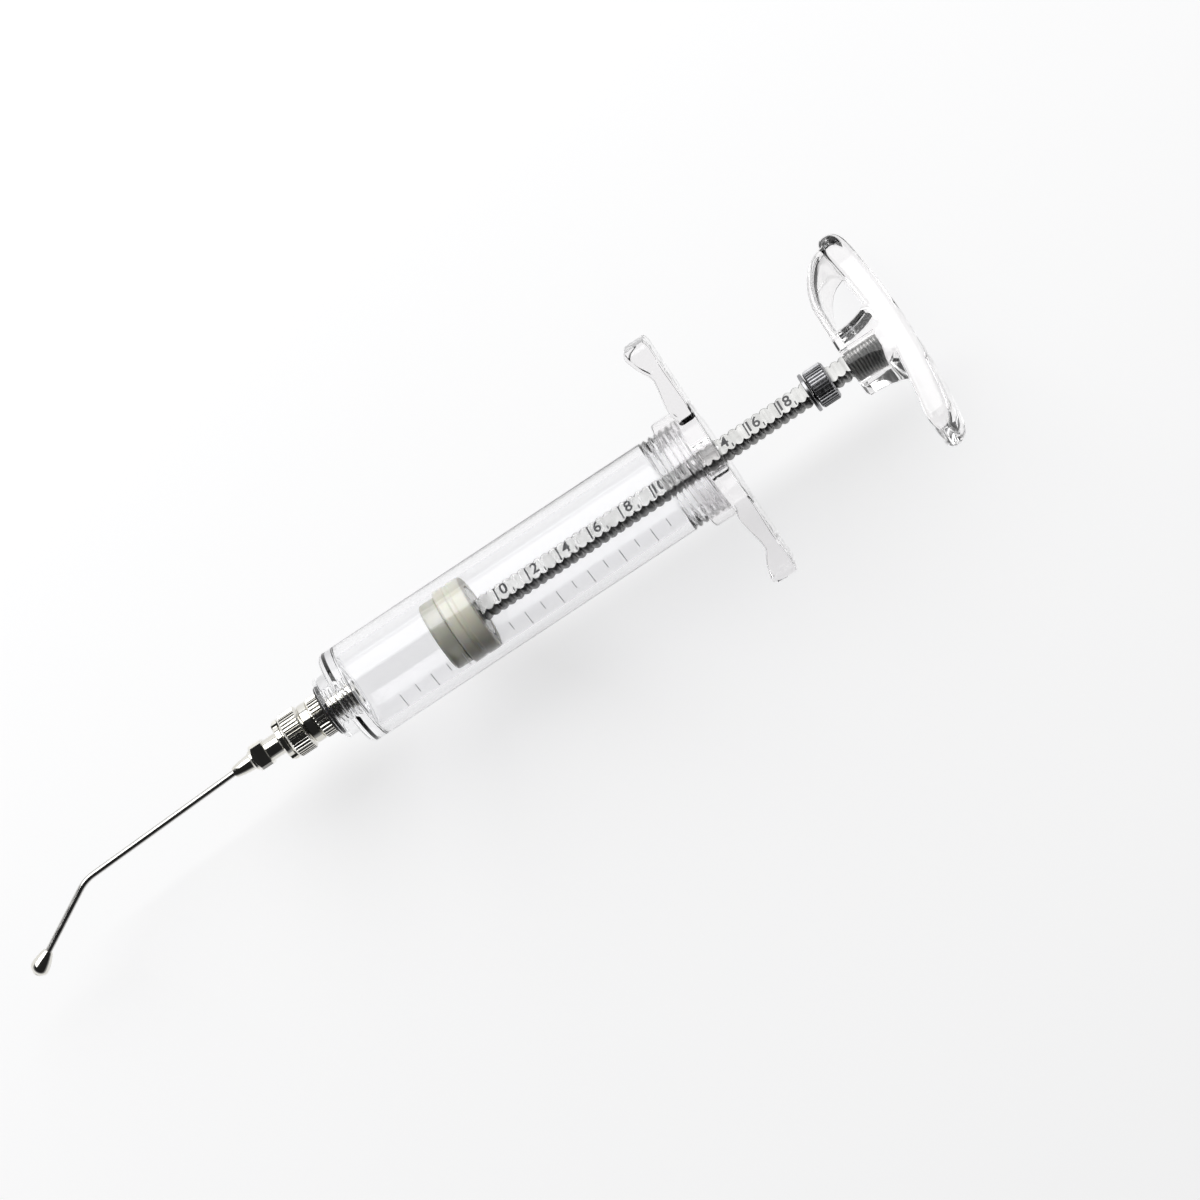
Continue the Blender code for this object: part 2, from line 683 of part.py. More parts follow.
def ribbon_form(material):
    """The curved strip from the boss's front face to the upper arm's end, with a gap behind it."""
    half = RIBBON_THICKNESS / 2
    outline = corner_points(half, RIBBON_WIDTH_HALF, RIBBON_CORNER_RADIUS)
    points = [Vector((x, reach, 0.0)) for reach, x in RIBBON_OUTER_EDGE]
    rings = []
    for index, point in enumerate(points):
        before = points[max(0, index - 1)]
        after = points[min(len(points) - 1, index + 1)]
        along = (after - before).normalized()
        inward = Vector((along.y, -along.x, 0.0))
        middle = point + inward * half
        rings.append([middle + inward * u + Vector((0.0, 0.0, v)) for u, v in outline])
    return skin("handle_ribbon_form", rings, material, closed=False)


def stud_hole_form(material):
    rings = [
        ring(HANDLE_FRONT_X - STUD_HOLE_OVERRUN, ROD_END_STUD_RADIUS + GAP, SMALL_ROUND),
        ring(ROD_END_X + GAP, ROD_END_STUD_RADIUS + GAP, SMALL_ROUND),
    ]
    return skin("stud_hole_form", rings, material, closed=False)


def make_palm_handle(material):
    straight = ARM_REACH - 2 * ARM_END_ROUNDING
    reaches = [straight * step / 5 for step in range(1, 6)]
    reaches += [ARM_REACH - 2 * ARM_END_ROUNDING * share for share in (0.7, 0.45, 0.22, 0.07, 0.0)]
    stations = [-reach for reach in reversed(reaches)] + [0.0] + reaches
    handle = skin("palm_handle", [arm_ring(reach) for reach in stations], material, closed=False)
    combine(handle, boss_form(material), "UNION")
    combine(handle, ribbon_form(material), "UNION")
    combine(handle, stud_hole_form(material), "DIFFERENCE")
    return handle


# ---------------------------------------------------------------- assembly

def main():
    clear_scene()
    paint = {name: principled(name) for name in MATERIALS}
    barrel_axis = axis_empty("barrel_axis", 0.0)
    needle_axis = axis_empty("needle_axis", COLLAR_FRONT_X)
    piston_axis = axis_empty("piston_axis", SEAL_REAR_X)
    plunger_axis = axis_empty("plunger_axis", ROD_SHOULDER_X, PLUNGER_ROLL)
    washer_axis = axis_empty("stop_washer_axis", STOP_WASHER_FRONT_X, PLUNGER_ROLL)
    nut_axis = axis_empty("dose_nut_axis", DOSE_NUT_FRONT_X, PLUNGER_ROLL)

    groups = {
        barrel_axis: (
            make_barrel(paint["clear_plastic"]),
            make_finger_grip(paint["clear_plastic"].copy()),
            make_nozzle_gasket(paint["gasket_rubber"]),
            make_nozzle(paint["chromed_brass"]),
            make_luer_lock_collar(paint["chromed_brass"].copy()),
        ),
        needle_axis: (
            make_needle_hub(paint["chromed_brass"].copy()),
            make_cannula(paint["stainless_tube"]),
            make_ball_tip(paint["chromed_brass"].copy()),
        ),
        piston_axis: (make_piston_seal(paint["piston_silicone"]),),
        plunger_axis: (
            make_piston_front_plate(paint["piston_plastic"]),
            make_piston_rear_plate(paint["piston_plastic"].copy()),
            make_plunger_rod(paint["rod_steel"]),
            make_palm_handle(paint["clear_plastic"].copy()),
        ),
        washer_axis: (make_stop_washer(paint["nut_steel"]),),
        nut_axis: (make_dose_nut(paint["nut_steel"].copy()),),
    }
    for axis, nodes in groups.items():
        for node in nodes:
            hang(node, axis)
    bpy.context.view_layer.update()


main()
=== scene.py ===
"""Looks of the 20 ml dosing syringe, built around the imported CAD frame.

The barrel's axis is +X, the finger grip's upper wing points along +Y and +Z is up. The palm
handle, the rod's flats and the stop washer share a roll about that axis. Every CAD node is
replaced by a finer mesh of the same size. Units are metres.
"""

from math import cos, pi, radians, sin, sqrt, tau

import bmesh
import bpy
from mathutils import Matrix, Vector


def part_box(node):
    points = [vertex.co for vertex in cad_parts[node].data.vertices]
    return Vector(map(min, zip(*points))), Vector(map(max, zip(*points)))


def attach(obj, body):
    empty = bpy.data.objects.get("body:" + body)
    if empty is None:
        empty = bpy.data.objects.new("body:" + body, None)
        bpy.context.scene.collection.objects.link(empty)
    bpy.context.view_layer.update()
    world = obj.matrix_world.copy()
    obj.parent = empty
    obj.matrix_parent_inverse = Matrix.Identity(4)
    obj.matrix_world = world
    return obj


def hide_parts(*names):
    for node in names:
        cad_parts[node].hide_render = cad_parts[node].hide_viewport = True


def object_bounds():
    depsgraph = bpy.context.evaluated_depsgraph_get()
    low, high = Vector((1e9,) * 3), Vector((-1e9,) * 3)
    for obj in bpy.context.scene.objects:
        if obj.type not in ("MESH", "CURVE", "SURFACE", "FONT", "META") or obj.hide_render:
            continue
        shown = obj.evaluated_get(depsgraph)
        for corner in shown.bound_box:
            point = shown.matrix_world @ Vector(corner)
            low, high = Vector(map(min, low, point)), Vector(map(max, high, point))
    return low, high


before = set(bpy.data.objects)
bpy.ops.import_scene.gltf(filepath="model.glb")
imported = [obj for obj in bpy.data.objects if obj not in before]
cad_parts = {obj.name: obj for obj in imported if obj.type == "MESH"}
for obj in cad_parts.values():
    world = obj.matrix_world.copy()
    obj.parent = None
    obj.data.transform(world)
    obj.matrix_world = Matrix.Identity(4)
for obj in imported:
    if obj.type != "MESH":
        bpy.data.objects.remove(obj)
cad_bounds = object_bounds()

# ---------------------------------------------------------------- stations taken from the frame

BARREL_LOW, BARREL_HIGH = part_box("barrel")
GASKET_LOW, GASKET_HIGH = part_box("nozzle_gasket")
NOZZLE_LOW, NOZZLE_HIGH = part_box("nozzle")
COLLAR_LOW, COLLAR_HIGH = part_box("luer_lock_collar")
HUB_LOW, HUB_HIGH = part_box("needle_hub")
FRONT_PLATE_LOW, FRONT_PLATE_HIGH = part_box("piston_front_plate")
SEAL_REAR_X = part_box("piston_seal")[1].x
REAR_PLATE_LOW, REAR_PLATE_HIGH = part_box("piston_rear_plate")
ROD_LOW, ROD_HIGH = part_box("plunger_rod")
WASHER_LOW, WASHER_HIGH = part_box("stop_washer")
NUT_LOW, NUT_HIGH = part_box("dose_nut")
GRIP_LOW, GRIP_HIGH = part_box("finger_grip")
HANDLE_LOW, HANDLE_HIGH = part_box("palm_handle")

BARREL_RADIUS = BARREL_HIGH.y
BORE_RADIUS = 0.00892
BORE_BOTTOM_X = -0.02445
SHOULDER_X = -0.0277
BOSS_RADIUS = 0.0073
PLUNGER_ROLL = Matrix.Rotation(radians(-36.5), 4, "X")

ROUND = 128
THREAD_RUN_OUT = 0.6
KNURL_POINTS = 8


# ---------------------------------------------------------------- mesh helpers

def new_object(name, mesh, material, sharp=35.0):
    mesh.materials.clear()
    mesh.materials.append(material)
    mesh.shade_smooth()
    mesh.set_sharp_from_angle(angle=radians(sharp))
    piece = bpy.data.objects.new(name, mesh)
    bpy.context.scene.collection.objects.link(piece)
    return piece


def signed_volume(mesh):
    mesh.calc_loop_triangles()
    points = mesh.vertices
    total = 0.0
    for triangle in mesh.loop_triangles:
        a, b, c = (points[index].co for index in triangle.vertices)
        total += a.dot(b.cross(c)) / 6.0
    return total


def skin(name, rings, material, closed, sharp=35.0):
    """Join rings of points into one solid: a closed loop of rings, or a stack with two caps."""
    count = len(rings[0])
    vertices = [point for points in rings for point in points]
    faces = []
    for row in range(len(rings) if closed else len(rings) - 1):
        low = row * count
        high = (row + 1) % len(rings) * count
        for column in range(count):
            beside = (column + 1) % count
            faces.append((low + column, low + beside, high + beside, high + column))
    if not closed:
        last = (len(rings) - 1) * count
        faces.append(tuple(reversed(range(count))))
        faces.append(tuple(range(last, last + count)))
    mesh = bpy.data.meshes.new(name)
    mesh.from_pydata(vertices, [], faces)
    if signed_volume(mesh) < 0.0:
        mesh.flip_normals()
    return new_object(name, mesh, material, sharp)


def arc(x, radius, size, start, end, steps=6):
    """Outline points of an arc of the given size about (x, radius), in degrees."""
    points = []
    for step in range(steps + 1):
        angle = radians(start + (end - start) * step / steps)
        points.append((x + size * cos(angle), radius + size * sin(angle)))
    return points


def round_ring(x, radius, count=ROUND):
    angles = [tau * index / count for index in range(count)]
    return [Vector((x, radius * cos(angle), radius * sin(angle))) for angle in angles]


def round_rings(outline, count=ROUND):
    return [round_ring(x, radius, count) for x, radius in outline]


def turned(name, outline, material, count=ROUND, closed=True):
    """Turn an outline of (x, radius) points about the X axis."""
    return skin(name, round_rings(outline, count), material, closed)


def fade(x, low, high, length):
    """1 inside low..high, falling smoothly to 0 over length at each end."""
    share = max(0.0, min(1.0, (x - low) / length, (high - x) / length))
    return share * share * (3.0 - 2.0 * share)


def thread_stations(low, high, crest, depth, pitch, count=ROUND, per_pitch=12, width=0.8):
    """Rings of a right-hand rounded thread between two stations, run out at both ends."""
    steps = max(2, round((high - low) / pitch * per_pitch))
    rings = []
    for step in range(steps + 1):
        x = low + (high - low) * step / steps
        strength = fade(x, low, high, pitch * THREAD_RUN_OUT)
        points = []
        for index in range(count):
            angle = tau * index / count
            phase = x / pitch - angle / tau
            bump = abs(sin(pi * phase)) ** width
            radius = crest - depth * (1.0 - bump) * strength
            points.append(Vector((x, radius * cos(angle), radius * sin(angle))))
        rings.append(points)
    return rings


def knurl_ring(x, radius, depth, teeth, crest_share=0.45):
    """A ring with straight knurling: flat crests with rounded grooves between them."""
    points = []
    count = teeth * KNURL_POINTS
    for index in range(count):
        angle = tau * index / count
        share = (index % KNURL_POINTS) / KNURL_POINTS
        groove = 0.0
        if share > crest_share:
            groove = sin(pi * (share - crest_share) / (1.0 - crest_share))
        r = radius - depth * groove
        points.append(Vector((x, r * cos(angle), r * sin(angle))))
    return points


def knurled(name, outline, material, teeth):
    """Turn an outline of (x, radius, groove depth) points about the X axis."""
    rings = [knurl_ring(x, radius, depth, teeth) for x, radius, depth in outline]
    return skin(name, rings, material, closed=True, sharp=28.0)


def rounded_rectangle(half_u, half_v, radius, steps=7):
    """Outline of a rounded rectangle, as (u, v) pairs, counter-clockwise."""
    points = []
    for corner, (sign_u, sign_v) in enumerate(((1, 1), (-1, 1), (-1, -1), (1, -1))):
        for step in range(steps + 1):
            angle = pi / 2 * (corner + step / steps)
            u = sign_u * (half_u - radius) + radius * cos(angle)
            v = sign_v * (half_v - radius) + radius * sin(angle)
            points.append((u, v))
    return points


def boolean(base, forms, operation):
    """Join or cut forms with a base piece, apply the result, and remove the forms."""
    for form in forms:
        modifier = base.modifiers.new(form.name, "BOOLEAN")
        modifier.operation = operation
        modifier.solver = "EXACT"
        modifier.object = form
    bpy.context.view_layer.update()
    depsgraph = bpy.context.evaluated_depsgraph_get()
    result = bpy.data.meshes.new_from_object(base.evaluated_get(depsgraph))
    base.modifiers.clear()
    material = base.data.materials[0]
    base.data = result
    base.data.materials.clear()
    base.data.materials.append(material)
    for form in forms:
        bpy.data.objects.remove(form, do_unlink=True)
    base.data.shade_smooth()
    base.data.set_sharp_from_angle(angle=radians(30))
    return base


def place(piece, body, slot, *nodes):
    """Give a piece its body, and let it stand for CAD nodes. The slot argument is not used."""
    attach(piece, body)
    if nodes:
        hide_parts(*nodes)
    return piece


# ---------------------------------------------------------------- materials

RIPPLE_HEIGHT = 0.000004
METAL_LINE_HEIGHT = 0.000002
GRAIN_HEIGHT = 0.000006
HAZE = (0.015, 0.07)


def node_material(name):
    material = bpy.data.materials.new(name)
    material.use_nodes = True
    tree = material.node_tree
    shader = tree.nodes["Principled BSDF"]
    return material, tree, shader


def object_coordinates(tree, scale):
    """Object-space coordinates scaled per axis, so that grain can run along or round the axis."""
    coordinates = tree.nodes.new("ShaderNodeTexCoord")
    mapping = tree.nodes.new("ShaderNodeMapping")
    mapping.inputs["Scale"].default_value = scale
    tree.links.new(coordinates.outputs["Object"], mapping.inputs["Vector"])
    return mapping.outputs["Vector"]


def noise(tree, vector, scale, detail=4.0, roughness=0.55):
    texture = tree.nodes.new("ShaderNodeTexNoise")
    texture.inputs["Scale"].default_value = scale
    texture.inputs["Detail"].default_value = detail
    texture.inputs["Roughness"].default_value = roughness
    tree.links.new(vector, texture.inputs["Vector"])
    return texture.outputs["Fac"]


def remap(tree, value, low, high, start=0.3, stop=0.7):
    node = tree.nodes.new("ShaderNodeMapRange")
    node.inputs["From Min"].default_value = start
    node.inputs["From Max"].default_value = stop
    node.inputs["To Min"].default_value = low
    node.inputs["To Max"].default_value = high
    tree.links.new(value, node.inputs["Value"])
    return node.outputs["Result"]


def add_bump(tree, shader, height, distance):
    bump = tree.nodes.new("ShaderNodeBump")
    bump.inputs["Distance"].default_value = distance
    bump.inputs["Strength"].default_value = 1.0
    tree.links.new(height, bump.inputs["Height"])
    tree.links.new(bump.outputs["Normal"], shader.inputs["Normal"])


def mix_colours(tree, factor, first, second):
    mix = tree.nodes.new("ShaderNodeMix")
    mix.data_type = "RGBA"
    mix.inputs["A"].default_value = first
    mix.inputs["B"].default_value = second
    tree.links.new(factor, mix.inputs["Factor"])
    return mix.outputs["Result"]


def clear_plastic(name, tint):
    """Polished clear plastic: flow ripples, a little haze, and light let through to inner parts."""
    material, tree, shader = node_material(name)
    shader.inputs["Base Color"].default_value = tint
    shader.inputs["Transmission Weight"].default_value = 1.0
    shader.inputs["IOR"].default_value = 1.46
    vector = object_coordinates(tree, (1.0, 1.0, 1.0))
    haze_field = noise(tree, vector, 180.0, 6.0)
    tree.links.new(remap(tree, haze_field, *HAZE), shader.inputs["Roughness"])
    flow = noise(tree, object_coordinates(tree, (0.35, 1.0, 1.0)), 260.0, 2.0, 0.4)
    add_bump(tree, shader, flow, RIPPLE_HEIGHT)
    path = tree.nodes.new("ShaderNodeLightPath")
    through = tree.nodes.new("ShaderNodeBsdfTransparent")
    through.inputs["Color"].default_value = (0.975, 0.975, 0.98, 1.0)
    mix = tree.nodes.new("ShaderNodeMixShader")
    tree.links.new(path.outputs["Is Shadow Ray"], mix.inputs["Fac"])
    tree.links.new(shader.outputs["BSDF"], mix.inputs[1])
    tree.links.new(through.outputs["BSDF"], mix.inputs[2])
    output = tree.nodes["Material Output"]
    tree.links.new(mix.outputs["Shader"], output.inputs["Surface"])
    return material


def metal(name, colour, dark, roughness, grain):
    """Turned or drawn metal: fine lines along one direction, soft stains and uneven gloss."""
    material, tree, shader = node_material(name)
    shader.inputs["Metallic"].default_value = 1.0
    lines = noise(tree, object_coordinates(tree, grain), 900.0, 3.0, 0.6)
    stains = noise(tree, object_coordinates(tree, (1.0, 1.0, 1.0)), 320.0, 5.0)
    blend = mix_colours(tree, remap(tree, stains, 0.0, 1.0), colour, dark)
    tree.links.new(blend, shader.inputs["Base Color"])
    tree.links.new(remap(tree, lines, roughness * 0.7, roughness * 1.5), shader.inputs["Roughness"])
    add_bump(tree, shader, lines, METAL_LINE_HEIGHT)
    return material


def soft_plastic(name, colour, shade, roughness, translucency=0.0, scatter=0.0):
    """Silicone, rubber or filled plastic, with a fine grain and faint colour variation."""
    material, tree, shader = node_material(name)
    vector = object_coordinates(tree, (1.0, 1.0, 1.0))
    clouds = noise(tree, vector, 150.0, 4.0)
    blend = mix_colours(tree, remap(tree, clouds, 0.0, 1.0), colour, shade)
    tree.links.new(blend, shader.inputs["Base Color"])
    grain = noise(tree, vector, 2600.0, 3.0)
    tree.links.new(remap(tree, grain, roughness * 0.8, roughness * 1.25), shader.inputs["Roughness"])
    shader.inputs["Transmission Weight"].default_value = translucency
    shader.inputs["Subsurface Weight"].default_value = scatter
    shader.inputs["Subsurface Radius"].default_value = (0.004, 0.003, 0.0015)
    shader.inputs["Subsurface Scale"].default_value = 0.5
    add_bump(tree, shader, grain, GRAIN_HEIGHT)
    return material


# ---------------------------------------------------------------- barrel

THREAD_PITCH = 0.0015
THREAD_DEPTH = 0.0007
REAR_THREAD_LENGTH = 0.0095
REAR_THREAD_END_GAP = 0.0006
REAR_LIP_ROUND = 0.0003
BORE_CHAMFER = 0.0005
SHOULDER_ROUND = 0.0014
SHOULDER_ROOT = 0.0005
BORE_BOTTOM_ROUND = 0.0009
BOSS_THREAD_PITCH = 0.0010
BOSS_THREAD_RADIUS = 0.0030
BOSS_THREAD_DEPTH = 0.0003
GASKET_SEAT_RADIUS = 0.0062
GASKET_SEAT_X = GASKET_HIGH.x + 0.0003
GASKET_HOLE_RADIUS = 0.0031
BARREL_EDGE = 0.0004


def make_barrel(material):
    """Thick-walled clear cylinder: rounded shoulder, recessed boss and a rear screw thread."""
    front = BARREL_LOW.x
    rear = BARREL_HIGH.x
    outline = [(front, GASKET_SEAT_RADIUS)]
    outline += arc(front + BARREL_EDGE, BOSS_RADIUS - BARREL_EDGE, BARREL_EDGE, 180, 90)
    outline += arc(SHOULDER_X - SHOULDER_ROOT, BOSS_RADIUS + SHOULDER_ROOT, SHOULDER_ROOT, 270, 360)
    shoulder_x = SHOULDER_X + SHOULDER_ROUND
    outline += arc(shoulder_x, BARREL_RADIUS - SHOULDER_ROUND, SHOULDER_ROUND, 180, 90, 10)
    rings = round_rings(outline)
    thread_start = rear - REAR_THREAD_LENGTH
    thread_end = rear - REAR_THREAD_END_GAP
    rear_thread = (thread_start, thread_end, BARREL_RADIUS, THREAD_DEPTH, THREAD_PITCH)
    rings += thread_stations(*rear_thread, width=1.1)
    lip = REAR_LIP_ROUND
    outline = arc(rear - lip, BARREL_RADIUS - lip, lip, 90, 0, 4)
    outline += [(rear, BORE_RADIUS + BORE_CHAMFER), (rear - BORE_CHAMFER, BORE_RADIUS)]
    inner = BORE_BOTTOM_ROUND
    outline += arc(BORE_BOTTOM_X + inner, BORE_RADIUS - inner, inner, 90, 180)
    outline.append((BORE_BOTTOM_X, BOSS_THREAD_RADIUS + BOSS_THREAD_DEPTH))
    rings += round_rings(outline)
    thread = thread_stations(
        GASKET_SEAT_X + 0.0002,
        BORE_BOTTOM_X - 0.0003,
        BOSS_THREAD_RADIUS,
        -BOSS_THREAD_DEPTH,
        BOSS_THREAD_PITCH,
    )
    rings += reversed(thread)
    seat = [(GASKET_SEAT_X, BOSS_THREAD_RADIUS + BOSS_THREAD_DEPTH), (GASKET_SEAT_X, GASKET_SEAT_RADIUS)]
    rings += round_rings(seat)
    return skin("barrel_shell", rings, material, closed=True, sharp=40.0)


TICK_COUNT = 19
TICK_FIRST_X = -0.0160
TICK_STEP = 0.0040
TICK_HALF_WIDTH = 0.00009
TICK_HEIGHT = 0.00002
TICK_START_ANGLE = 113.0
TICK_LONG_ANGLE = 21.0
TICK_SHORT_ANGLE = 12.0
TICK_SEGMENTS = 8


def make_ticks(material):
    """Faint graduation ticks on the barrel's lower front side, every second one longer."""
    builder = bmesh.new()
    for tick in range(TICK_COUNT):
        middle = TICK_FIRST_X + tick * TICK_STEP
        span = TICK_LONG_ANGLE if tick % 2 == 0 else TICK_SHORT_ANGLE
        rows = []
        for step in range(TICK_SEGMENTS + 1):
            angle = radians(TICK_START_ANGLE + span * step / TICK_SEGMENTS)
            row = []
            for side, lift in ((-1, -1), (1, -1), (1, 1), (-1, 1)):
                radius = BARREL_RADIUS + lift * TICK_HEIGHT
                x = middle + side * TICK_HALF_WIDTH
                row.append(builder.verts.new((x, radius * cos(angle), radius * sin(angle))))
            rows.append(row)
        for low, high in zip(rows, rows[1:]):
            for index in range(4):
                beside = (index + 1) % 4
                builder.faces.new((low[index], low[beside], high[beside], high[index]))
        builder.faces.new(rows[0][::-1])
        builder.faces.new(rows[-1])
    bmesh.ops.recalc_face_normals(builder, faces=builder.faces)
    mesh = bpy.data.meshes.new("barrel_ticks")
    builder.to_mesh(mesh)
    builder.free()
    return new_object("barrel_ticks", mesh, material)


def make_gasket(material):
    edge = 0.0003
    low = GASKET_LOW.x
    high = GASKET_HIGH.x
    outer = GASKET_HIGH.y
    outline = [(low, GASKET_HOLE_RADIUS)]
    outline += arc(low + edge, outer - edge, edge, 180, 90, 4)
    outline += arc(high - edge, outer - edge, edge, 90, 0, 4)
    outline += [(high, GASKET_HOLE_RADIUS)]
    return turned("gasket_ring", outline, material)


# ---------------------------------------------------------------- nozzle and lock collar

FLUID_BORE = 0.0010
LUER_FRONT_RADIUS = 0.00175
LUER_REAR_RADIUS = 0.0019
LUER_CHAMFER = 0.0001
SPIGOT_RADIUS = 0.0030
STEM_RADIUS = 0.0027
STEM_CREST_LIFT = 0.00015
STEM_THREAD_DEPTH = 0.0004
STEM_END_CHAMFER = 0.0002
NECK_RADIUS = 0.0046
NECK_STEP = 0.0003
FLANGE_RADIUS = 0.00483
FLANGE_FRONT_X = -0.0350
FLANGE_KNURL_DEPTH = 0.00028
NECK_FRONT_X = -0.0374
SPIGOT_FRONT_X = -0.0386
TURNED_EDGE = 0.0002
FLANGE_TEETH = 36
COLLAR_TEETH = 40
COLLAR_BEVEL = 0.00055
COLLAR_KNURL_DEPTH = 0.00030
COLLAR_BORE_RADIUS = 0.0033
COLLAR_CAVITY_RADIUS = 0.00405


def make_nozzle(material):
    """Turned nozzle: luer cone, spigot, smooth neck, knurled flange and threaded stem."""
    flange_rear = GASKET_LOW.x - 0.00005
    edge = TURNED_EDGE
    outline = [
        (NOZZLE_LOW.x, FLUID_BORE),
        (NOZZLE_LOW.x, LUER_FRONT_RADIUS - LUER_CHAMFER),
        (NOZZLE_LOW.x + LUER_CHAMFER, LUER_FRONT_RADIUS),
        (SPIGOT_FRONT_X, LUER_REAR_RADIUS),
        (SPIGOT_FRONT_X, SPIGOT_RADIUS),
        (NECK_FRONT_X, SPIGOT_RADIUS),
        (NECK_FRONT_X, NECK_RADIUS - edge),
        (NECK_FRONT_X + edge, NECK_RADIUS),
        (FLANGE_FRONT_X - 2 * edge, NECK_RADIUS),
        (FLANGE_FRONT_X - edge, NECK_RADIUS - NECK_STEP),
        (FLANGE_FRONT_X, NECK_RADIUS - NECK_STEP),
        (FLANGE_FRONT_X, FLANGE_RADIUS - edge),
    ]
    count = FLANGE_TEETH * KNURL_POINTS
    rings = round_rings(outline, count)
    for x in (FLANGE_FRONT_X + edge, flange_rear - edge):
        rings.append(knurl_ring(x, FLANGE_RADIUS, FLANGE_KNURL_DEPTH, FLANGE_TEETH))
    rings.append(round_ring(flange_rear, FLANGE_RADIUS - NECK_STEP, count))
    rings.append(round_ring(flange_rear, STEM_RADIUS - STEM_END_CHAMFER, count))
    crest = STEM_RADIUS + STEM_CREST_LIFT
    stem_end = NOZZLE_HIGH.x - 0.0003
    rings += thread_stations(GASKET_SEAT_X, stem_end, crest, STEM_THREAD_DEPTH, BOSS_THREAD_PITCH, count)
    rings.append(round_ring(NOZZLE_HIGH.x, STEM_RADIUS - STEM_END_CHAMFER, count))
    rings.append(round_ring(NOZZLE_HIGH.x, FLUID_BORE, count))
    return skin("nozzle_body", rings, material, closed=True, sharp=28.0)


def make_lock_collar(material):
    """Knurled lock ring: bevelled ends, straight knurling and a smooth bore with lug cavity."""
    low = COLLAR_LOW.x
    high = COLLAR_HIGH.x
    outer = COLLAR_HIGH.y
    bevel = ((0.0, 0.0006), (COLLAR_BEVEL * 0.35, 0.0003), (COLLAR_BEVEL * 0.8, 0.00012))
    cavity_end = SPIGOT_FRONT_X - 0.0003
    outline = [(low, COLLAR_CAVITY_RADIUS, 0.0)]
    outline += [(low + along, outer - inset, 0.0) for along, inset in bevel]
    outline += [(low + COLLAR_BEVEL, outer, COLLAR_KNURL_DEPTH)]
    outline += [(high - COLLAR_BEVEL, outer, COLLAR_KNURL_DEPTH)]
    outline += [(high - along, outer - inset, 0.0) for along, inset in reversed(bevel)]
    outline += [(high, COLLAR_BORE_RADIUS, 0.0), (cavity_end, COLLAR_BORE_RADIUS, 0.0)]
    outline += [(cavity_end, COLLAR_CAVITY_RADIUS, 0.0)]
    return knurled("lock_collar", outline, material, COLLAR_TEETH)


# ---------------------------------------------------------------- cannula

HUB_FLANGE_REAR_X = -0.0427
HUB_FLANGE_FRONT_X = -0.0442
HUB_BLOCK_REAR_X = -0.0477
HUB_BLOCK_FRONT_X = -0.0515
HUB_BLOCK_HALF = 0.00295
HUB_BLOCK_CHAMFER = 0.0006
HUB_BLOCK_ARCH = 0.0006
HUB_SOCKET_END_X = -0.0447
HUB_BLOCK_TURN = radians(-7.0)
HUB_BLOCK_EDGE = 0.00018
HUB_NECK_RADIUS = 0.0025
HUB_FLANGE_RADIUS = 0.0040
HUB_FLANGE_EDGE = 0.0003
HUB_LIP_RADIUS = 0.0035
HUB_SOCKET_RADIUS = 0.00225
HUB_SOCKET_END_RADIUS = 0.0021
HUB_LUG_STATIONS = ((0.0030, 1.0, 0.0), (0.0042, 0.9, 0.0001), (0.0048, 0.45, 0.0004))
HUB_LUG_HALF = (0.0009, 0.0016)
TUBE_RADIUS = 0.00073
TUBE_BORE_RADIUS = 0.0004
TUBE_SEAT_RADIUS = TUBE_RADIUS + 0.00002
TUBE_START_X = -0.0485
TUBE_SEAT_LENGTH = 0.0082
TUBE_SET_RADIUS = 0.010
TUBE_SET_ANGLE = 2.3
TUBE_STRAIGHT_LENGTH = 0.0372
TUBE_BEND_RADIUS = 0.0093
TUBE_BEND_ANGLE = 26.4
TUBE_TIP_LENGTH = 0.01786
TUBE_SIDES = 40
BALL_LENGTH = 0.0057
BALL_RADIUS = 0.00205
BALL_WIDEST_SHARE = 0.30
BALL_NOSE_SHARE = 0.42
BALL_ON_TUBE = 0.0024


def make_hub(material):
    """Turned hub with a flange, two slanted lugs and a square key block."""
    edge = HUB_FLANGE_EDGE
    outline = [
        (HUB_LOW.x, TUBE_SEAT_RADIUS),
        (HUB_LOW.x, 0.00110),
        (HUB_LOW.x + 0.0005, 0.00130),
        (HUB_LOW.x + 0.0024, 0.00165),
        (HUB_BLOCK_FRONT_X - 0.0004, 0.00190),
        (HUB_BLOCK_FRONT_X, HUB_NECK_RADIUS - 0.0001),
        (HUB_FLANGE_FRONT_X - edge, HUB_NECK_RADIUS),
    ]
    outline += arc(HUB_FLANGE_FRONT_X - edge, HUB_NECK_RADIUS + edge, edge, 270, 360, 3)
    outline += [
        (HUB_FLANGE_FRONT_X, HUB_FLANGE_RADIUS - edge),
        (HUB_FLANGE_FRONT_X + edge, HUB_FLANGE_RADIUS),
        (HUB_FLANGE_REAR_X - TURNED_EDGE, HUB_FLANGE_RADIUS),
        (HUB_FLANGE_REAR_X, HUB_FLANGE_RADIUS - TURNED_EDGE),
        (HUB_FLANGE_REAR_X, HUB_LIP_RADIUS),
        (HUB_HIGH.x - TURNED_EDGE, HUB_LIP_RADIUS),
        (HUB_HIGH.x, HUB_LIP_RADIUS - TURNED_EDGE),
        (HUB_HIGH.x, HUB_SOCKET_RADIUS),
        (HUB_SOCKET_END_X, HUB_SOCKET_END_RADIUS),
        (HUB_SOCKET_END_X, TUBE_SEAT_RADIUS),
    ]
    hub = turned("hub_body", outline, material, 96)
    forms = [hub_block(material)]
    forms += [hub_lug(material, side) for side in (1, -1)]
    return boolean(hub, forms, "UNION")


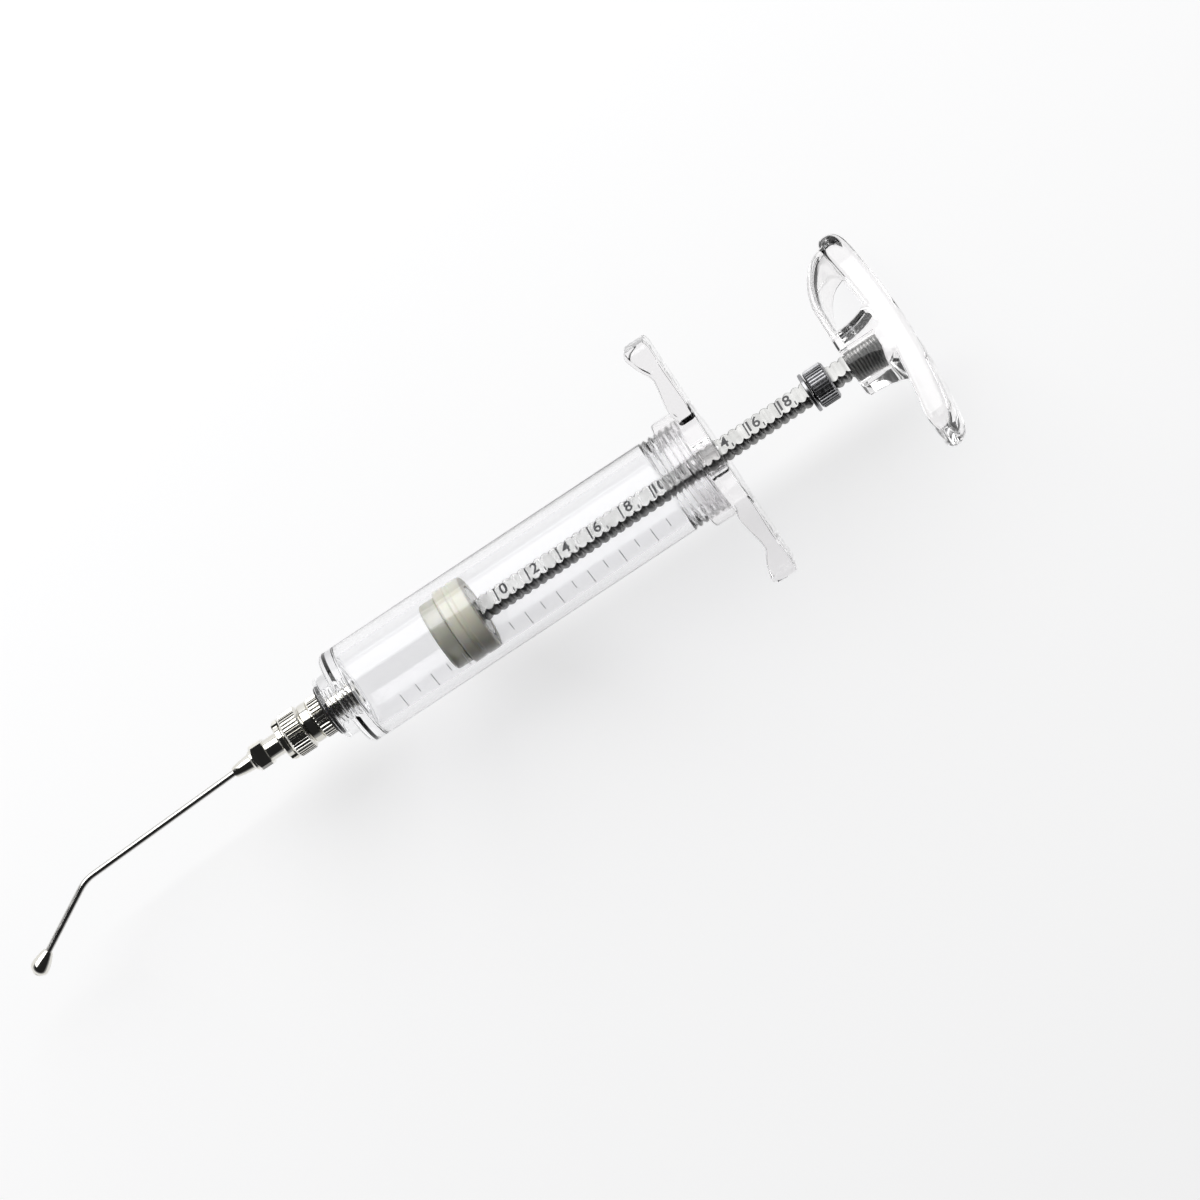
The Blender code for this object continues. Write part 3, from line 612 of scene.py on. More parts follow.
def hub_block_outline():
    """Square with chamfered corners and several points along each side."""
    half = HUB_BLOCK_HALF
    short = half - HUB_BLOCK_CHAMFER
    reach = 5
    side = [(half, short * (step / reach)) for step in range(-reach, reach + 1)]
    points = []
    for quarter in range(4):
        for u, v in side:
            for _ in range(quarter):
                u, v = -v, u
            points.append((u, v))
    return points


def hub_block(material):
    """The key block: a square frame round the neck, its front edges turned to shallow arches."""
    turn = Matrix.Rotation(HUB_BLOCK_TURN, 4, "X")
    outer = hub_block_outline()
    front = HUB_BLOCK_FRONT_X + 0.0003
    rear = HUB_BLOCK_REAR_X
    corner = sqrt(2.0) * HUB_BLOCK_HALF - HUB_BLOCK_CHAMFER / sqrt(2.0)
    edge = HUB_BLOCK_EDGE
    hollow = 0.55
    stations = (
        (front, HUB_BLOCK_ARCH, 0.90),
        (front + edge, HUB_BLOCK_ARCH, 1.0),
        (rear - edge, 0.0, 1.0),
        (rear, 0.0, 0.94),
        (rear, 0.0, hollow),
        (front, 0.0, hollow),
    )
    rings = []
    for x, arch, scale in stations:
        points = []
        for u, v in outer:
            away = max(0.0, (sqrt(u * u + v * v) - HUB_BLOCK_HALF) / (corner - HUB_BLOCK_HALF))
            points.append(turn @ Vector((x + arch * away, u * scale, v * scale)))
        rings.append(points)
    return skin("hub_block", rings, material, closed=True, sharp=20.0)


def hub_lug(material, side):
    """A lug that leans back towards the lock collar as it narrows outwards."""
    middle = (HUB_FLANGE_FRONT_X + HUB_FLANGE_REAR_X) / 2
    half_along, half_up = HUB_LUG_HALF
    rings = []
    for reach, share, lean in HUB_LUG_STATIONS:
        outline = rounded_rectangle(half_along * share, half_up * share, 0.00025 * share, 3)
        rings.append([Vector((middle + lean + u, side * reach, v)) for u, v in outline])
    return skin("hub_lug", rings, material, closed=False)


def tube_route():
    """Stations (point, heading) of the tube's centre line in the XY plane."""
    point = Vector((TUBE_START_X, 0.0, 0.0))
    heading = 0.0
    stations = [(point.copy(), heading)]
    stretches = (
        (TUBE_SEAT_LENGTH, 0.0, 4),
        (TUBE_SET_RADIUS * radians(TUBE_SET_ANGLE), TUBE_SET_ANGLE, 6),
        (TUBE_STRAIGHT_LENGTH, 0.0, 20),
        (TUBE_BEND_RADIUS * radians(TUBE_BEND_ANGLE), TUBE_BEND_ANGLE, 32),
        (TUBE_TIP_LENGTH, 0.0, 8),
    )
    for length, turn, steps in stretches:
        for _ in range(steps):
            heading += radians(turn) / steps / 2
            point += Vector((-cos(heading), -sin(heading), 0.0)) * (length / steps)
            heading += radians(turn) / steps / 2
            stations.append((point.copy(), heading))
    return stations


def make_tube(material):
    outer = []
    inner = []
    angles = [tau * index / TUBE_SIDES for index in range(TUBE_SIDES)]
    for point, heading in tube_route():
        across = Vector((-sin(heading), cos(heading), 0.0))
        up = Vector((0.0, 0.0, 1.0))
        for rings, radius in ((outer, TUBE_RADIUS), (inner, TUBE_BORE_RADIUS)):
            rings.append([point + across * radius * cos(a) + up * radius * sin(a) for a in angles])
    return skin("cannula_tube", outer + inner[::-1], material, closed=True)


def make_ball(material):
    """Olive tip: flat rounded nose, widest near the front, tapering to the soldered neck."""
    outline = [(0.0, TUBE_BORE_RADIUS), (0.0, BALL_RADIUS * BALL_NOSE_SHARE)]
    steps = 26
    for step in range(steps + 1):
        share = step / steps
        before = max(0.0, 1.0 - share / BALL_WIDEST_SHARE)
        after = max(0.0, (share - BALL_WIDEST_SHARE) / (1.0 - BALL_WIDEST_SHARE))
        nose = sqrt(1.0 - before ** 2.2)
        taper = 1.0 - 0.48 * after ** 1.7
        outline.append((BALL_LENGTH * share, BALL_RADIUS * max(0.45, nose * taper)))
    outline.append((BALL_LENGTH, TUBE_SEAT_RADIUS))
    outline.append((BALL_LENGTH * 0.5, TUBE_SEAT_RADIUS))
    outline.append((BALL_LENGTH * 0.5, TUBE_BORE_RADIUS))
    ball = turned("ball_olive", outline, material, 64)
    point, heading = tube_route()[-1]
    ahead = Vector((-cos(heading), -sin(heading), 0.0))
    front = point + ahead * (BALL_LENGTH - BALL_ON_TUBE)
    ball.data.transform(Matrix.Translation(front) @ Matrix.Rotation(heading, 4, "Z"))
    return ball


# ---------------------------------------------------------------- piston

PLATE_HOLE_RADIUS = 0.0023
PLATE_HOLE_DEPTH = 0.0031
PLATE_EDGE = 0.0003
FRONT_PLATE_ROUND = 0.0008
SEAL_HOLE_RADIUS = 0.0024
SEAL_CONTACT_RADIUS = BORE_RADIUS - 0.00003
SEAL_GROOVE_RADIUS = SEAL_CONTACT_RADIUS - 0.0003
SEAL_FRONT_ROUND = 0.0006
SEAL_REAR_ROUND = 0.0004


def make_front_plate(material):
    """Round plate with a dished front face and a blind hole for the rod's stud."""
    low = FRONT_PLATE_LOW.x
    high = FRONT_PLATE_HIGH.x
    outer = FRONT_PLATE_HIGH.y
    edge = FRONT_PLATE_ROUND
    dish = low + 0.0006
    outline = [(high - PLATE_HOLE_DEPTH, PLATE_HOLE_RADIUS), (high, PLATE_HOLE_RADIUS)]
    outline += [(high, outer - 0.0004), (high - PLATE_EDGE, outer)]
    outline += arc(low + edge, outer - edge, edge, 90, 180, 6)
    outline += [(low + 0.0002, 0.0045), (dish, 0.0030), (dish, 0.0010)]
    return turned("front_plate", outline, material, closed=False)


def make_seal(material):
    """Silicone ring: two sealing lips that touch the bore, with a groove between them."""
    low = FRONT_PLATE_HIGH.x + 0.0001
    high = SEAL_REAR_X
    contact = SEAL_CONTACT_RADIUS
    groove = SEAL_GROOVE_RADIUS
    length = high - low
    front_round = SEAL_FRONT_ROUND
    rear_round = SEAL_REAR_ROUND
    pocket_x = REAR_PLATE_LOW.x - 0.0001
    pocket_radius = REAR_PLATE_HIGH.y + 0.0002
    outline = [(low, SEAL_HOLE_RADIUS), (low, contact - front_round)]
    outline += arc(low + front_round, contact - front_round, front_round, 180, 90, 5)
    grooved = ((0.34, contact), (0.40, groove), (0.52, groove), (0.58, contact))
    outline += [(low + length * share, radius) for share, radius in grooved]
    outline += arc(high - rear_round, contact - rear_round, rear_round, 90, 0, 4)
    outline += [(high, pocket_radius), (pocket_x, pocket_radius), (pocket_x, SEAL_HOLE_RADIUS)]
    return turned("piston_ring_seal", outline, material)


def make_rear_plate(material):
    """Backing washer with one bevelled edge."""
    low = REAR_PLATE_LOW.x
    high = REAR_PLATE_HIGH.x
    outer = REAR_PLATE_HIGH.y
    outline = [(low, PLATE_HOLE_RADIUS), (low, outer), (high - PLATE_EDGE, outer)]
    outline += [(high, outer - PLATE_EDGE), (high, PLATE_HOLE_RADIUS)]
    return turned("rear_plate", outline, material)


# ---------------------------------------------------------------- plunger rod

ROD_PITCH = 0.0020
ROD_CREST = 0.0028
ROD_THREAD_DEPTH = 0.00055
ROD_FLAT_HALF = 0.00183
ROD_START_X = 0.00755
ROD_STUD_RADIUS = 0.0022
ROD_STUD_CHAMFER = 0.0003
ROD_END_THREAD_PITCH = 0.0008
ROD_END_THREAD_CREST = 0.0027
ROD_END_THREAD_DEPTH = 0.00035
NO_FLAT = 1.0
RINGS_PER_ROD_PITCH = 16
RINGS_PER_END_PITCH = 10
HANDLE_FRONT_X = HANDLE_LOW.x


def rod_angles():
    """Angles round the rod, closer together where the flats cut the thread."""
    spans = ((-38.0, 38.0, 20), (38.0, 66.0, 22), (66.0, 114.0, 4), (114.0, 142.0, 22))
    angles = []
    for half in (0.0, 180.0):
        for low, high, steps in spans:
            angles += [radians(half + low + (high - low) * step / steps) for step in range(steps)]
    return angles


def rod_ring(x, angles, crest, depth, pitch, strength, flat):
    points = []
    for angle in angles:
        bump = abs(sin(pi * (x / pitch - angle / tau))) ** 0.75
        radius = crest - depth * (1.0 - bump) * strength
        z = max(-flat, min(flat, radius * sin(angle)))
        points.append(Vector((x, radius * cos(angle), z)))
    return points


def make_rod(material):
    """Threaded rod with two milled flats, a plain stud in the piston and a fine end thread."""
    angles = rod_angles()
    gap = 0.0001
    body_end = HANDLE_FRONT_X - gap
    chamfered = ROD_STUD_RADIUS - ROD_STUD_CHAMFER
    stud = (
        (ROD_LOW.x, chamfered),
        (ROD_LOW.x + ROD_STUD_CHAMFER, ROD_STUD_RADIUS),
        (ROD_START_X, ROD_STUD_RADIUS),
    )
    rings = [rod_ring(x, angles, radius, 0.0, ROD_PITCH, 0.0, NO_FLAT) for x, radius in stud]
    length = body_end - ROD_START_X
    steps = round(length / ROD_PITCH * RINGS_PER_ROD_PITCH)
    for step in range(steps + 1):
        x = ROD_START_X + length * step / steps
        strength = fade(x, ROD_START_X - 0.0004, body_end + 0.0004, ROD_PITCH * 0.3)
        rings.append(rod_ring(x, angles, ROD_CREST, ROD_THREAD_DEPTH, ROD_PITCH, strength, ROD_FLAT_HALF))
    end_thread = (ROD_END_THREAD_CREST, ROD_END_THREAD_DEPTH, ROD_END_THREAD_PITCH, 1.0, NO_FLAT)
    steps = round((ROD_HIGH.x - body_end) / ROD_END_THREAD_PITCH * RINGS_PER_END_PITCH)
    for step in range(steps + 1):
        x = body_end + gap + (ROD_HIGH.x - body_end - gap) * step / steps
        rings.append(rod_ring(x, angles, *end_thread))
    rod = skin("rod_threaded", rings, material, closed=False, sharp=30.0)
    rod.data.transform(PLUNGER_ROLL)
    return rod


MARK_LAST_DOSE = 20
MARK_LONG_HALF = (0.00017, 0.0017)
MARK_SHORT_HALF = (0.00014, 0.0005)
MARK_SHORT_Y = -0.0012
MARK_ZERO_X = 0.0121
MARK_STEP = 0.0040
MARK_HEIGHT = 0.00002
DIGIT_SIZE = 0.0036
DIGIT_BOLDNESS = 0.00007
DIGIT_OFFSET_X = 0.0020
DIGIT_OFFSET_Y = 0.0004


def add_bar(builder, x, y, half_x, half_y):
    """A thin bar printed on the rod's upper flat."""
    corners = ((-half_x, -half_y), (half_x, -half_y), (half_x, half_y), (-half_x, half_y))
    low = [builder.verts.new(Vector((x + u, y + v, ROD_FLAT_HALF))) for u, v in corners]
    top = ROD_FLAT_HALF + MARK_HEIGHT
    high = [builder.verts.new(Vector((x + u, y + v, top))) for u, v in corners]
    builder.faces.new(high)
    builder.faces.new(low[::-1])
    for index in range(4):
        beside = (index + 1) % 4
        builder.faces.new((low[index], low[beside], high[beside], high[index]))


def make_marks(material):
    """Dose marks on the flat: a long line and a number every 2 ml, a short tick between them."""
    builder = bmesh.new()
    for dose in range(MARK_LAST_DOSE + 1):
        x = MARK_ZERO_X + dose * MARK_STEP
        if dose % 2 == 0:
            add_bar(builder, x, 0.0, *MARK_LONG_HALF)
        else:
            add_bar(builder, x, MARK_SHORT_Y, *MARK_SHORT_HALF)
    for dose in range(0, MARK_LAST_DOSE + 1, 2):
        digits = digit_mesh(str(dose))
        x = MARK_ZERO_X + dose * MARK_STEP + DIGIT_OFFSET_X
        digits.transform(Matrix.Translation((x, DIGIT_OFFSET_Y, ROD_FLAT_HALF)))
        builder.from_mesh(digits)
        bpy.data.meshes.remove(digits)
    mesh = bpy.data.meshes.new("rod_marks")
    builder.to_mesh(mesh)
    builder.free()
    mesh.transform(PLUNGER_ROLL)
    return new_object("rod_marks", mesh, material)


def digit_mesh(text):
    """A raised number, centred on its own origin."""
    curve = bpy.data.curves.new("digits", "FONT")
    curve.body = text
    curve.size = DIGIT_SIZE
    curve.extrude = MARK_HEIGHT
    curve.offset = DIGIT_BOLDNESS
    curve.resolution_u = 4
    holder = bpy.data.objects.new("digits", curve)
    bpy.context.scene.collection.objects.link(holder)
    bpy.context.view_layer.update()
    depsgraph = bpy.context.evaluated_depsgraph_get()
    mesh = bpy.data.meshes.new_from_object(holder.evaluated_get(depsgraph))
    bpy.data.objects.remove(holder, do_unlink=True)
    bpy.data.curves.remove(curve)
    xs = [vertex.co.x for vertex in mesh.vertices]
    ys = [vertex.co.y for vertex in mesh.vertices]
    mesh.transform(Matrix.Translation((-(min(xs) + max(xs)) / 2, -(min(ys) + max(ys)) / 2, 0.0)))
    return mesh


# ---------------------------------------------------------------- dose nut

NUT_BORE_RADIUS = 0.0029
FLAT_CLEARANCE = 0.0001
WASHER_RADIUS = 0.0046
WASHER_EDGE = 0.00012
NUT_RADIUS = 0.0045
NUT_EDGE = 0.0005
NUT_KNURL_DEPTH = 0.00032
NUT_TEETH = 38


def make_washer(material):
    """Thin stop washer, bevelled, with a hole that follows the rod's flats."""
    low = WASHER_LOW.x
    high = WASHER_HIGH.x
    edge = WASHER_EDGE
    flat = ROD_FLAT_HALF + FLAT_CLEARANCE
    angles = rod_angles()

    def hole(x):
        return rod_ring(x, angles, NUT_BORE_RADIUS, 0.0, ROD_PITCH, 0.0, flat)

    def rim(x, radius):
        return [Vector((x, radius * cos(angle), radius * sin(angle))) for angle in angles]

    rings = [hole(low), rim(low, WASHER_RADIUS - edge), rim(low + edge, WASHER_RADIUS)]
    rings += [rim(high - edge, WASHER_RADIUS), rim(high, WASHER_RADIUS - edge), hole(high)]
    washer = skin("washer_disc", rings, material, closed=True)
    washer.data.transform(PLUNGER_ROLL)
    return washer


def make_nut(material):
    """Knurled nut with bevelled ends and a plain hole."""
    low = NUT_LOW.x
    high = NUT_HIGH.x
    edge = NUT_EDGE
    outline = [
        (low, NUT_BORE_RADIUS, 0.0),
        (low, NUT_RADIUS - edge, 0.0),
        (low + edge * 0.6, NUT_RADIUS - edge * 0.3, 0.0),
        (low + edge, NUT_RADIUS, NUT_KNURL_DEPTH),
        (high - edge, NUT_RADIUS, NUT_KNURL_DEPTH),
        (high - edge * 0.6, NUT_RADIUS - edge * 0.3, 0.0),
        (high, NUT_RADIUS - edge, 0.0),
        (high, NUT_BORE_RADIUS, 0.0),
    ]
    return knurled("nut_knurled", outline, material, NUT_TEETH)


# ---------------------------------------------------------------- finger grip

WING_DEPTH_HALF = 0.0082
WING_SPAN = GRIP_HIGH.y
WING_ROOT = 0.0088
WING_FRONT_EDGE = (
    (0.0088, 0.0652),
    (0.0114, 0.0652),
    (0.0129, 0.0646),
    (0.0165, 0.0650),
    (0.0200, 0.0656),
    (0.0220, 0.0656),
    (0.0245, 0.0643),
    (0.0270, 0.0634),
    (0.0295, 0.0628),
)
WING_END_ROUNDING = 0.0020
WING_FRONT_SHARE = 0.8
WING_REAR_SHARE = 0.3
WING_CORNER = 0.0009
WING_STATIONS = 32
WING_END_STATIONS = 8
GRIP_INNER_WALL_X = 0.0649
GRIP_COLLAR_RADIUS = 0.0129
GRIP_THREAD_GAP = 0.00008
GRIP_EDGE = 0.0005
ROD_HOLE_RADIUS = 0.0032


def rounding(share):
    """Fall of a quarter circle, from 0 at share 0 to 1 at share 1."""
    return 1.0 - sqrt(max(0.0, 1.0 - share * share))


def eased(reach, table):
    """Smooth curve through a table of (reach, value) points."""
    for index in range(len(table) - 1):
        low, start = table[index]
        high, stop = table[index + 1]
        if reach <= high or index == len(table) - 2:
            share = max(0.0, min(1.0, (reach - low) / (high - low)))
            before = table[max(0, index - 1)]
            after = table[min(len(table) - 1, index + 2)]
            slope_low = (stop - before[1]) / (high - before[0]) * (high - low)
            slope_high = (after[1] - start) / (after[0] - low) * (high - low)
            square = share * share
            cube = square * share
            value = start * (2 * cube - 3 * square + 1) + slope_low * (cube - 2 * square + share)
            return value + stop * (3 * square - 2 * cube) + slope_high * (cube - square)


def wing_ring(reach, side):
    end_share = max(0.0, 1.0 - (WING_SPAN - reach) / WING_END_ROUNDING)
    inset = WING_END_ROUNDING * rounding(end_share)
    front = eased(reach, WING_FRONT_EDGE) + inset * WING_FRONT_SHARE
    rear = GRIP_HIGH.x - inset * WING_REAR_SHARE
    outline = rounded_rectangle((rear - front) / 2, WING_DEPTH_HALF - inset, WING_CORNER, 6)
    return [Vector(((front + rear) / 2 + u, side * reach, v)) for u, v in outline]


def end_stations(straight, length, count):
    """Stations that close up towards the end of a rounded tip."""
    tip = straight + length
    return [tip - length * (1.0 - sin(pi / 2 * step / count)) for step in range(1, count + 1)]


def wing(material, side):
    straight = WING_SPAN - WING_END_ROUNDING
    width = (straight - WING_ROOT) / WING_STATIONS
    reaches = [WING_ROOT + width * step for step in range(WING_STATIONS + 1)]
    reaches += end_stations(straight, WING_END_ROUNDING, WING_END_STATIONS)
    return skin("wing", [wing_ring(reach, side) for reach in reaches], material, closed=False)


def make_grip(material):
    """Screw cap with two wings, plain inside where it covers the barrel's rear thread."""
    front = GRIP_LOW.x
    rear = GRIP_HIGH.x
    inner = BARREL_RADIUS + GRIP_THREAD_GAP
    edge = GRIP_EDGE
    outline = [(front, inner)]
    outline += arc(front + edge, GRIP_COLLAR_RADIUS - edge, edge, 180, 90, 5)
    outline += arc(rear - edge, GRIP_COLLAR_RADIUS - edge, edge, 90, 0, 5)
    outline += [(rear, ROD_HOLE_RADIUS), (GRIP_INNER_WALL_X, ROD_HOLE_RADIUS)]
    outline += [(GRIP_INNER_WALL_X, inner)]
    grip = turned("grip_shell", outline, material)
    return boolean(grip, [wing(material, side) for side in (1, -1)], "UNION")


# ---------------------------------------------------------------- palm handle

HANDLE_HALF_WIDTH = 0.0075
ARM_REACH = 0.0277
ARM_END = 0.0027
ARM_END_LENGTH = 2 * ARM_END
ARM_FRONT_X = 0.1121
ARM_FRONT_SWEEP = 0.0029
ARM_REAR_SWEEP = 0.0024
ARM_END_TAPER = 0.85
ARM_END_NARROWING = 1.3
ARM_CORNER = 0.0016
ARM_STATIONS = 20
ARM_END_STATIONS = 10
STUD_HOLE_RADIUS = 0.0028
BOSS_LENGTH = 0.0120
BOSS_HALF_HEIGHT = 0.0059
BOSS_CORNER = 0.0032
BOSS_FRONT_ROUND = 0.0006
BOSS_STATIONS = 24


def arm_front(reach):
    return ARM_FRONT_X - ARM_FRONT_SWEEP * (abs(reach) / ARM_REACH) ** 1.6


def arm_rear(reach):
    return HANDLE_HIGH.x - ARM_REAR_SWEEP * (reach / ARM_REACH) ** 2


def arm_ring(reach):
    end_share = max(0.0, 1.0 - (ARM_REACH - abs(reach)) / ARM_END_LENGTH)
    inset = ARM_END * rounding(end_share)
    front = arm_front(reach) + inset * ARM_END_TAPER
    rear = arm_rear(reach) - inset * ARM_END_TAPER
    half_width = HANDLE_HALF_WIDTH - inset * ARM_END_NARROWING
    outline = rounded_rectangle((rear - front) / 2, half_width, min(ARM_CORNER, (rear - front) / 2.2), 8)
    return [Vector(((front + rear) / 2 + u, reach, v)) for u, v in outline]


def make_handle(material):
    """Crescent palm rest with a block boss and a strip that closes a D-shaped gap above it."""
    straight = ARM_REACH - ARM_END_LENGTH
    reaches = [straight * step / ARM_STATIONS for step in range(1, ARM_STATIONS + 1)]
    reaches += end_stations(straight, ARM_END_LENGTH, ARM_END_STATIONS)
    stations = [-reach for reach in reversed(reaches)] + [0.0] + reaches
    handle = skin("handle_shell", [arm_ring(reach) for reach in stations], material, closed=False)
    boolean(handle, [handle_boss(material), handle_strip(material)], "UNION")
    ends = (HANDLE_FRONT_X - 0.002, ROD_HIGH.x + 0.0003)
    bore = turned("stud_hole", [(x, STUD_HOLE_RADIUS) for x in ends], material, 64, closed=False)
    boolean(handle, [bore], "DIFFERENCE")
    handle.data.transform(PLUNGER_ROLL)
    return handle


def handle_boss(material):
    """Rounded block on the axis that flares into the arms."""
    rings = []
    for step in range(BOSS_STATIONS + 1):
        share = step / BOSS_STATIONS
        flare = 0.0036 * share ** 3.0 + 0.0004 * share
        front_share = max(0.0, 1.0 - share * BOSS_LENGTH / BOSS_FRONT_ROUND)
        front_edge = BOSS_FRONT_ROUND * rounding(front_share)
        half_height = BOSS_HALF_HEIGHT + flare - front_edge
        half_width = HANDLE_HALF_WIDTH - 0.0002 - front_edge
        outline = rounded_rectangle(half_height, half_width, BOSS_CORNER, 8)
        rings.append([Vector((HANDLE_FRONT_X + BOSS_LENGTH * share, u, v)) for u, v in outline])
    return skin("handle_boss", rings, material, closed=False)


STRIP_THICKNESS = 0.0017
STRIP_INSET = 0.0003
STRIP_CORNER = 0.0007
STRIP_OUTER_EDGE = (
    (0.0020, 0.10185),
    (0.0120, 0.10185),
    (0.0150, 0.1023),
    (0.0180, 0.1033),
    (0.0202, 0.1045),
    (0.0219, 0.1058),
    (0.0231, 0.1072),
    (0.0239, 0.1088),
    (0.0246, 0.1106),
    (0.0253, 0.1124),
)


def smooth_path(points, steps):
    """Points along a smooth curve through the given (reach, x) pairs."""
    path = []
    for index in range(len(points) - 1):
        p0 = Vector(points[max(0, index - 1)])
        p1 = Vector(points[index])
        p2 = Vector(points[index + 1])
        p3 = Vector(points[min(len(points) - 1, index + 2)])
        for step in range(steps):
            s = step / steps
            first = 2 * p1 + (p2 - p0) * s
            second = (2 * p0 - 5 * p1 + 4 * p2 - p3) * s * s
            third = (3 * p1 - p0 - 3 * p2 + p3) * s ** 3
            path.append((first + second + third) / 2)
    path.append(Vector(points[-1]))
    return path


def handle_strip(material):
    """The curved strip from the boss's front face to the upper arm's end."""
    half = STRIP_THICKNESS / 2
    outline = rounded_rectangle(half, HANDLE_HALF_WIDTH - STRIP_INSET, STRIP_CORNER, 5)
    path = [Vector((x, reach, 0.0)) for reach, x in smooth_path(STRIP_OUTER_EDGE, 4)]
    rings = []
    for index, point in enumerate(path):
        along = (path[min(len(path) - 1, index + 1)] - path[max(0, index - 1)]).normalized()
        inward = Vector((along.y, -along.x, 0.0))
        middle = point + inward * half
        rings.append([middle + inward * u + Vector((0.0, 0.0, v)) for u, v in outline])
    return skin("handle_strip", rings, material, closed=False)


# ---------------------------------------------------------------- studio

VIEW_TILT = radians(5.0)
VIEW_ROLL = radians(7.0)
AXIS_RISE = radians(33.4)
FRAME_WIDTH = 0.25632
CAMERA_DISTANCE = 1.2
SENSOR = 36.0
AIM_X = 0.02995
AIM_ACROSS = 0.01222
KEY_DISTANCE = 1.4
KEY_SIZE = (1.7, 1.2)
KEY_POWER = 21.5
FLOOR_HALF = 4.0
FLOOR_DROP = 0.0005
WHITE = (1.0, 1.0, 1.0, 1.0)


def view_axes():
    """The view's right, up and towards-camera directions, then along and across the object."""
    out = Vector((0.0, sin(VIEW_ROLL), cos(VIEW_ROLL)))
    toward = (out * cos(VIEW_TILT) + Vector((1.0, 0.0, 0.0)) * sin(VIEW_TILT)).normalized()
    across = Vector((0.0, cos(VIEW_ROLL), -sin(VIEW_ROLL)))
    along = (Vector((1.0, 0.0, 0.0)) - toward * toward.x).normalized()
    right = along * cos(AXIS_RISE) - across * sin(AXIS_RISE)
    up = along * sin(AXIS_RISE) + across * cos(AXIS_RISE)
    return right, up, toward, along, across


def make_camera():
    right, up, toward, _, across = view_axes()
    data = bpy.data.cameras.new("camera")
    data.lens = SENSOR * CAMERA_DISTANCE / FRAME_WIDTH
    data.sensor_width = SENSOR
    data.clip_end = 20.0
    camera = bpy.data.objects.new("camera", data)
    aim = Vector((AIM_X, 0.0, 0.0)) - across * AIM_ACROSS
    turn = Matrix((right, up, toward)).transposed().to_4x4()
    camera.matrix_world = Matrix.Translation(aim + toward * CAMERA_DISTANCE) @ turn
    bpy.context.scene.collection.objects.link(camera)
    bpy.context.scene.camera = camera


def area_light(name, direction, distance, size, power):
    data = bpy.data.lights.new(name, "AREA")
    data.shape = "RECTANGLE"
    data.size, data.size_y = size
    data.energy = power
    light = bpy.data.objects.new(name, data)
    direction = direction.normalized()
    light.location = direction * distance
    light.rotation_euler = direction.to_track_quat("Z", "Y").to_euler()
    light.visible_camera = False
    bpy.context.scene.collection.objects.link(light)


def make_studio():
    """White floor just under the object, one large soft light, a dim room and the render look."""
    _, _, toward, along, across = view_axes()
    floor_mesh = bpy.data.meshes.new("floor")
    half = FLOOR_HALF
    z = cad_bounds[0][2] - FLOOR_DROP
    corners = [(-half, -half, z), (half, -half, z), (half, half, z), (-half, half, z)]
    floor_mesh.from_pydata(corners, [], [(0, 1, 2, 3)])
    material, _, shader = node_material("floor_white")
    shader.inputs["Base Color"].default_value = (0.86, 0.86, 0.865, 1.0)
    shader.inputs["Roughness"].default_value = 0.7
    shader.inputs["Specular IOR Level"].default_value = 0.1
    shader.inputs["Emission Color"].default_value = WHITE
    shader.inputs["Emission Strength"].default_value = 0.54
    floor_piece = new_object("floor", floor_mesh, material)
    key_direction = across * 0.77 + toward * 0.64 - along * 0.12
    area_light("key_softbox", key_direction, KEY_DISTANCE, KEY_SIZE, KEY_POWER)
    make_world()
    scene = bpy.context.scene
    scene.view_settings.view_transform = "Standard"
    scene.cycles.caustics_reflective = False
    scene.cycles.caustics_refractive = False
    scene.cycles.max_bounces = 16
    scene.cycles.transmission_bounces = 14
    scene.cycles.transparent_max_bounces = 16


def make_world():
    """Dim room: dark overhead, pale near the horizon."""
    world = bpy.data.worlds.new("studio")
    world.use_nodes = True
    tree = world.node_tree
    background = tree.nodes["Background"]
    coordinates = tree.nodes.new("ShaderNodeTexCoord")
    split = tree.nodes.new("ShaderNodeSeparateXYZ")
    tree.links.new(coordinates.outputs["Generated"], split.inputs["Vector"])
    height = remap(tree, split.outputs["Z"], 0.50, 0.02, 0.0, 0.45)
    tree.links.new(height, background.inputs["Strength"])
    background.inputs["Color"].default_value = (0.96, 0.97, 1.0, 1.0)
    bpy.context.scene.world = world


# ---------------------------------------------------------------- assembly

CHROME = (0.80, 0.79, 0.75, 1.0)
CHROME_STAIN = (0.72, 0.70, 0.64, 1.0)
STEEL = (0.62, 0.61, 0.59, 1.0)
STEEL_STAIN = (0.55, 0.54, 0.52, 1.0)
ROD_STEEL = (0.31, 0.31, 0.305, 1.0)
ROD_STEEL_STAIN = (0.25, 0.25, 0.245, 1.0)
NUT_STEEL = (0.36, 0.36, 0.37, 1.0)
NUT_STEEL_STAIN = (0.26, 0.26, 0.27, 1.0)
SILICONE = (0.97, 0.94, 0.80, 1.0)
SILICONE_SHADE = (0.95, 0.90, 0.74, 1.0)
PLATE = (0.96, 0.95, 0.82, 1.0)
PLATE_SHADE = (0.93, 0.92, 0.76, 1.0)


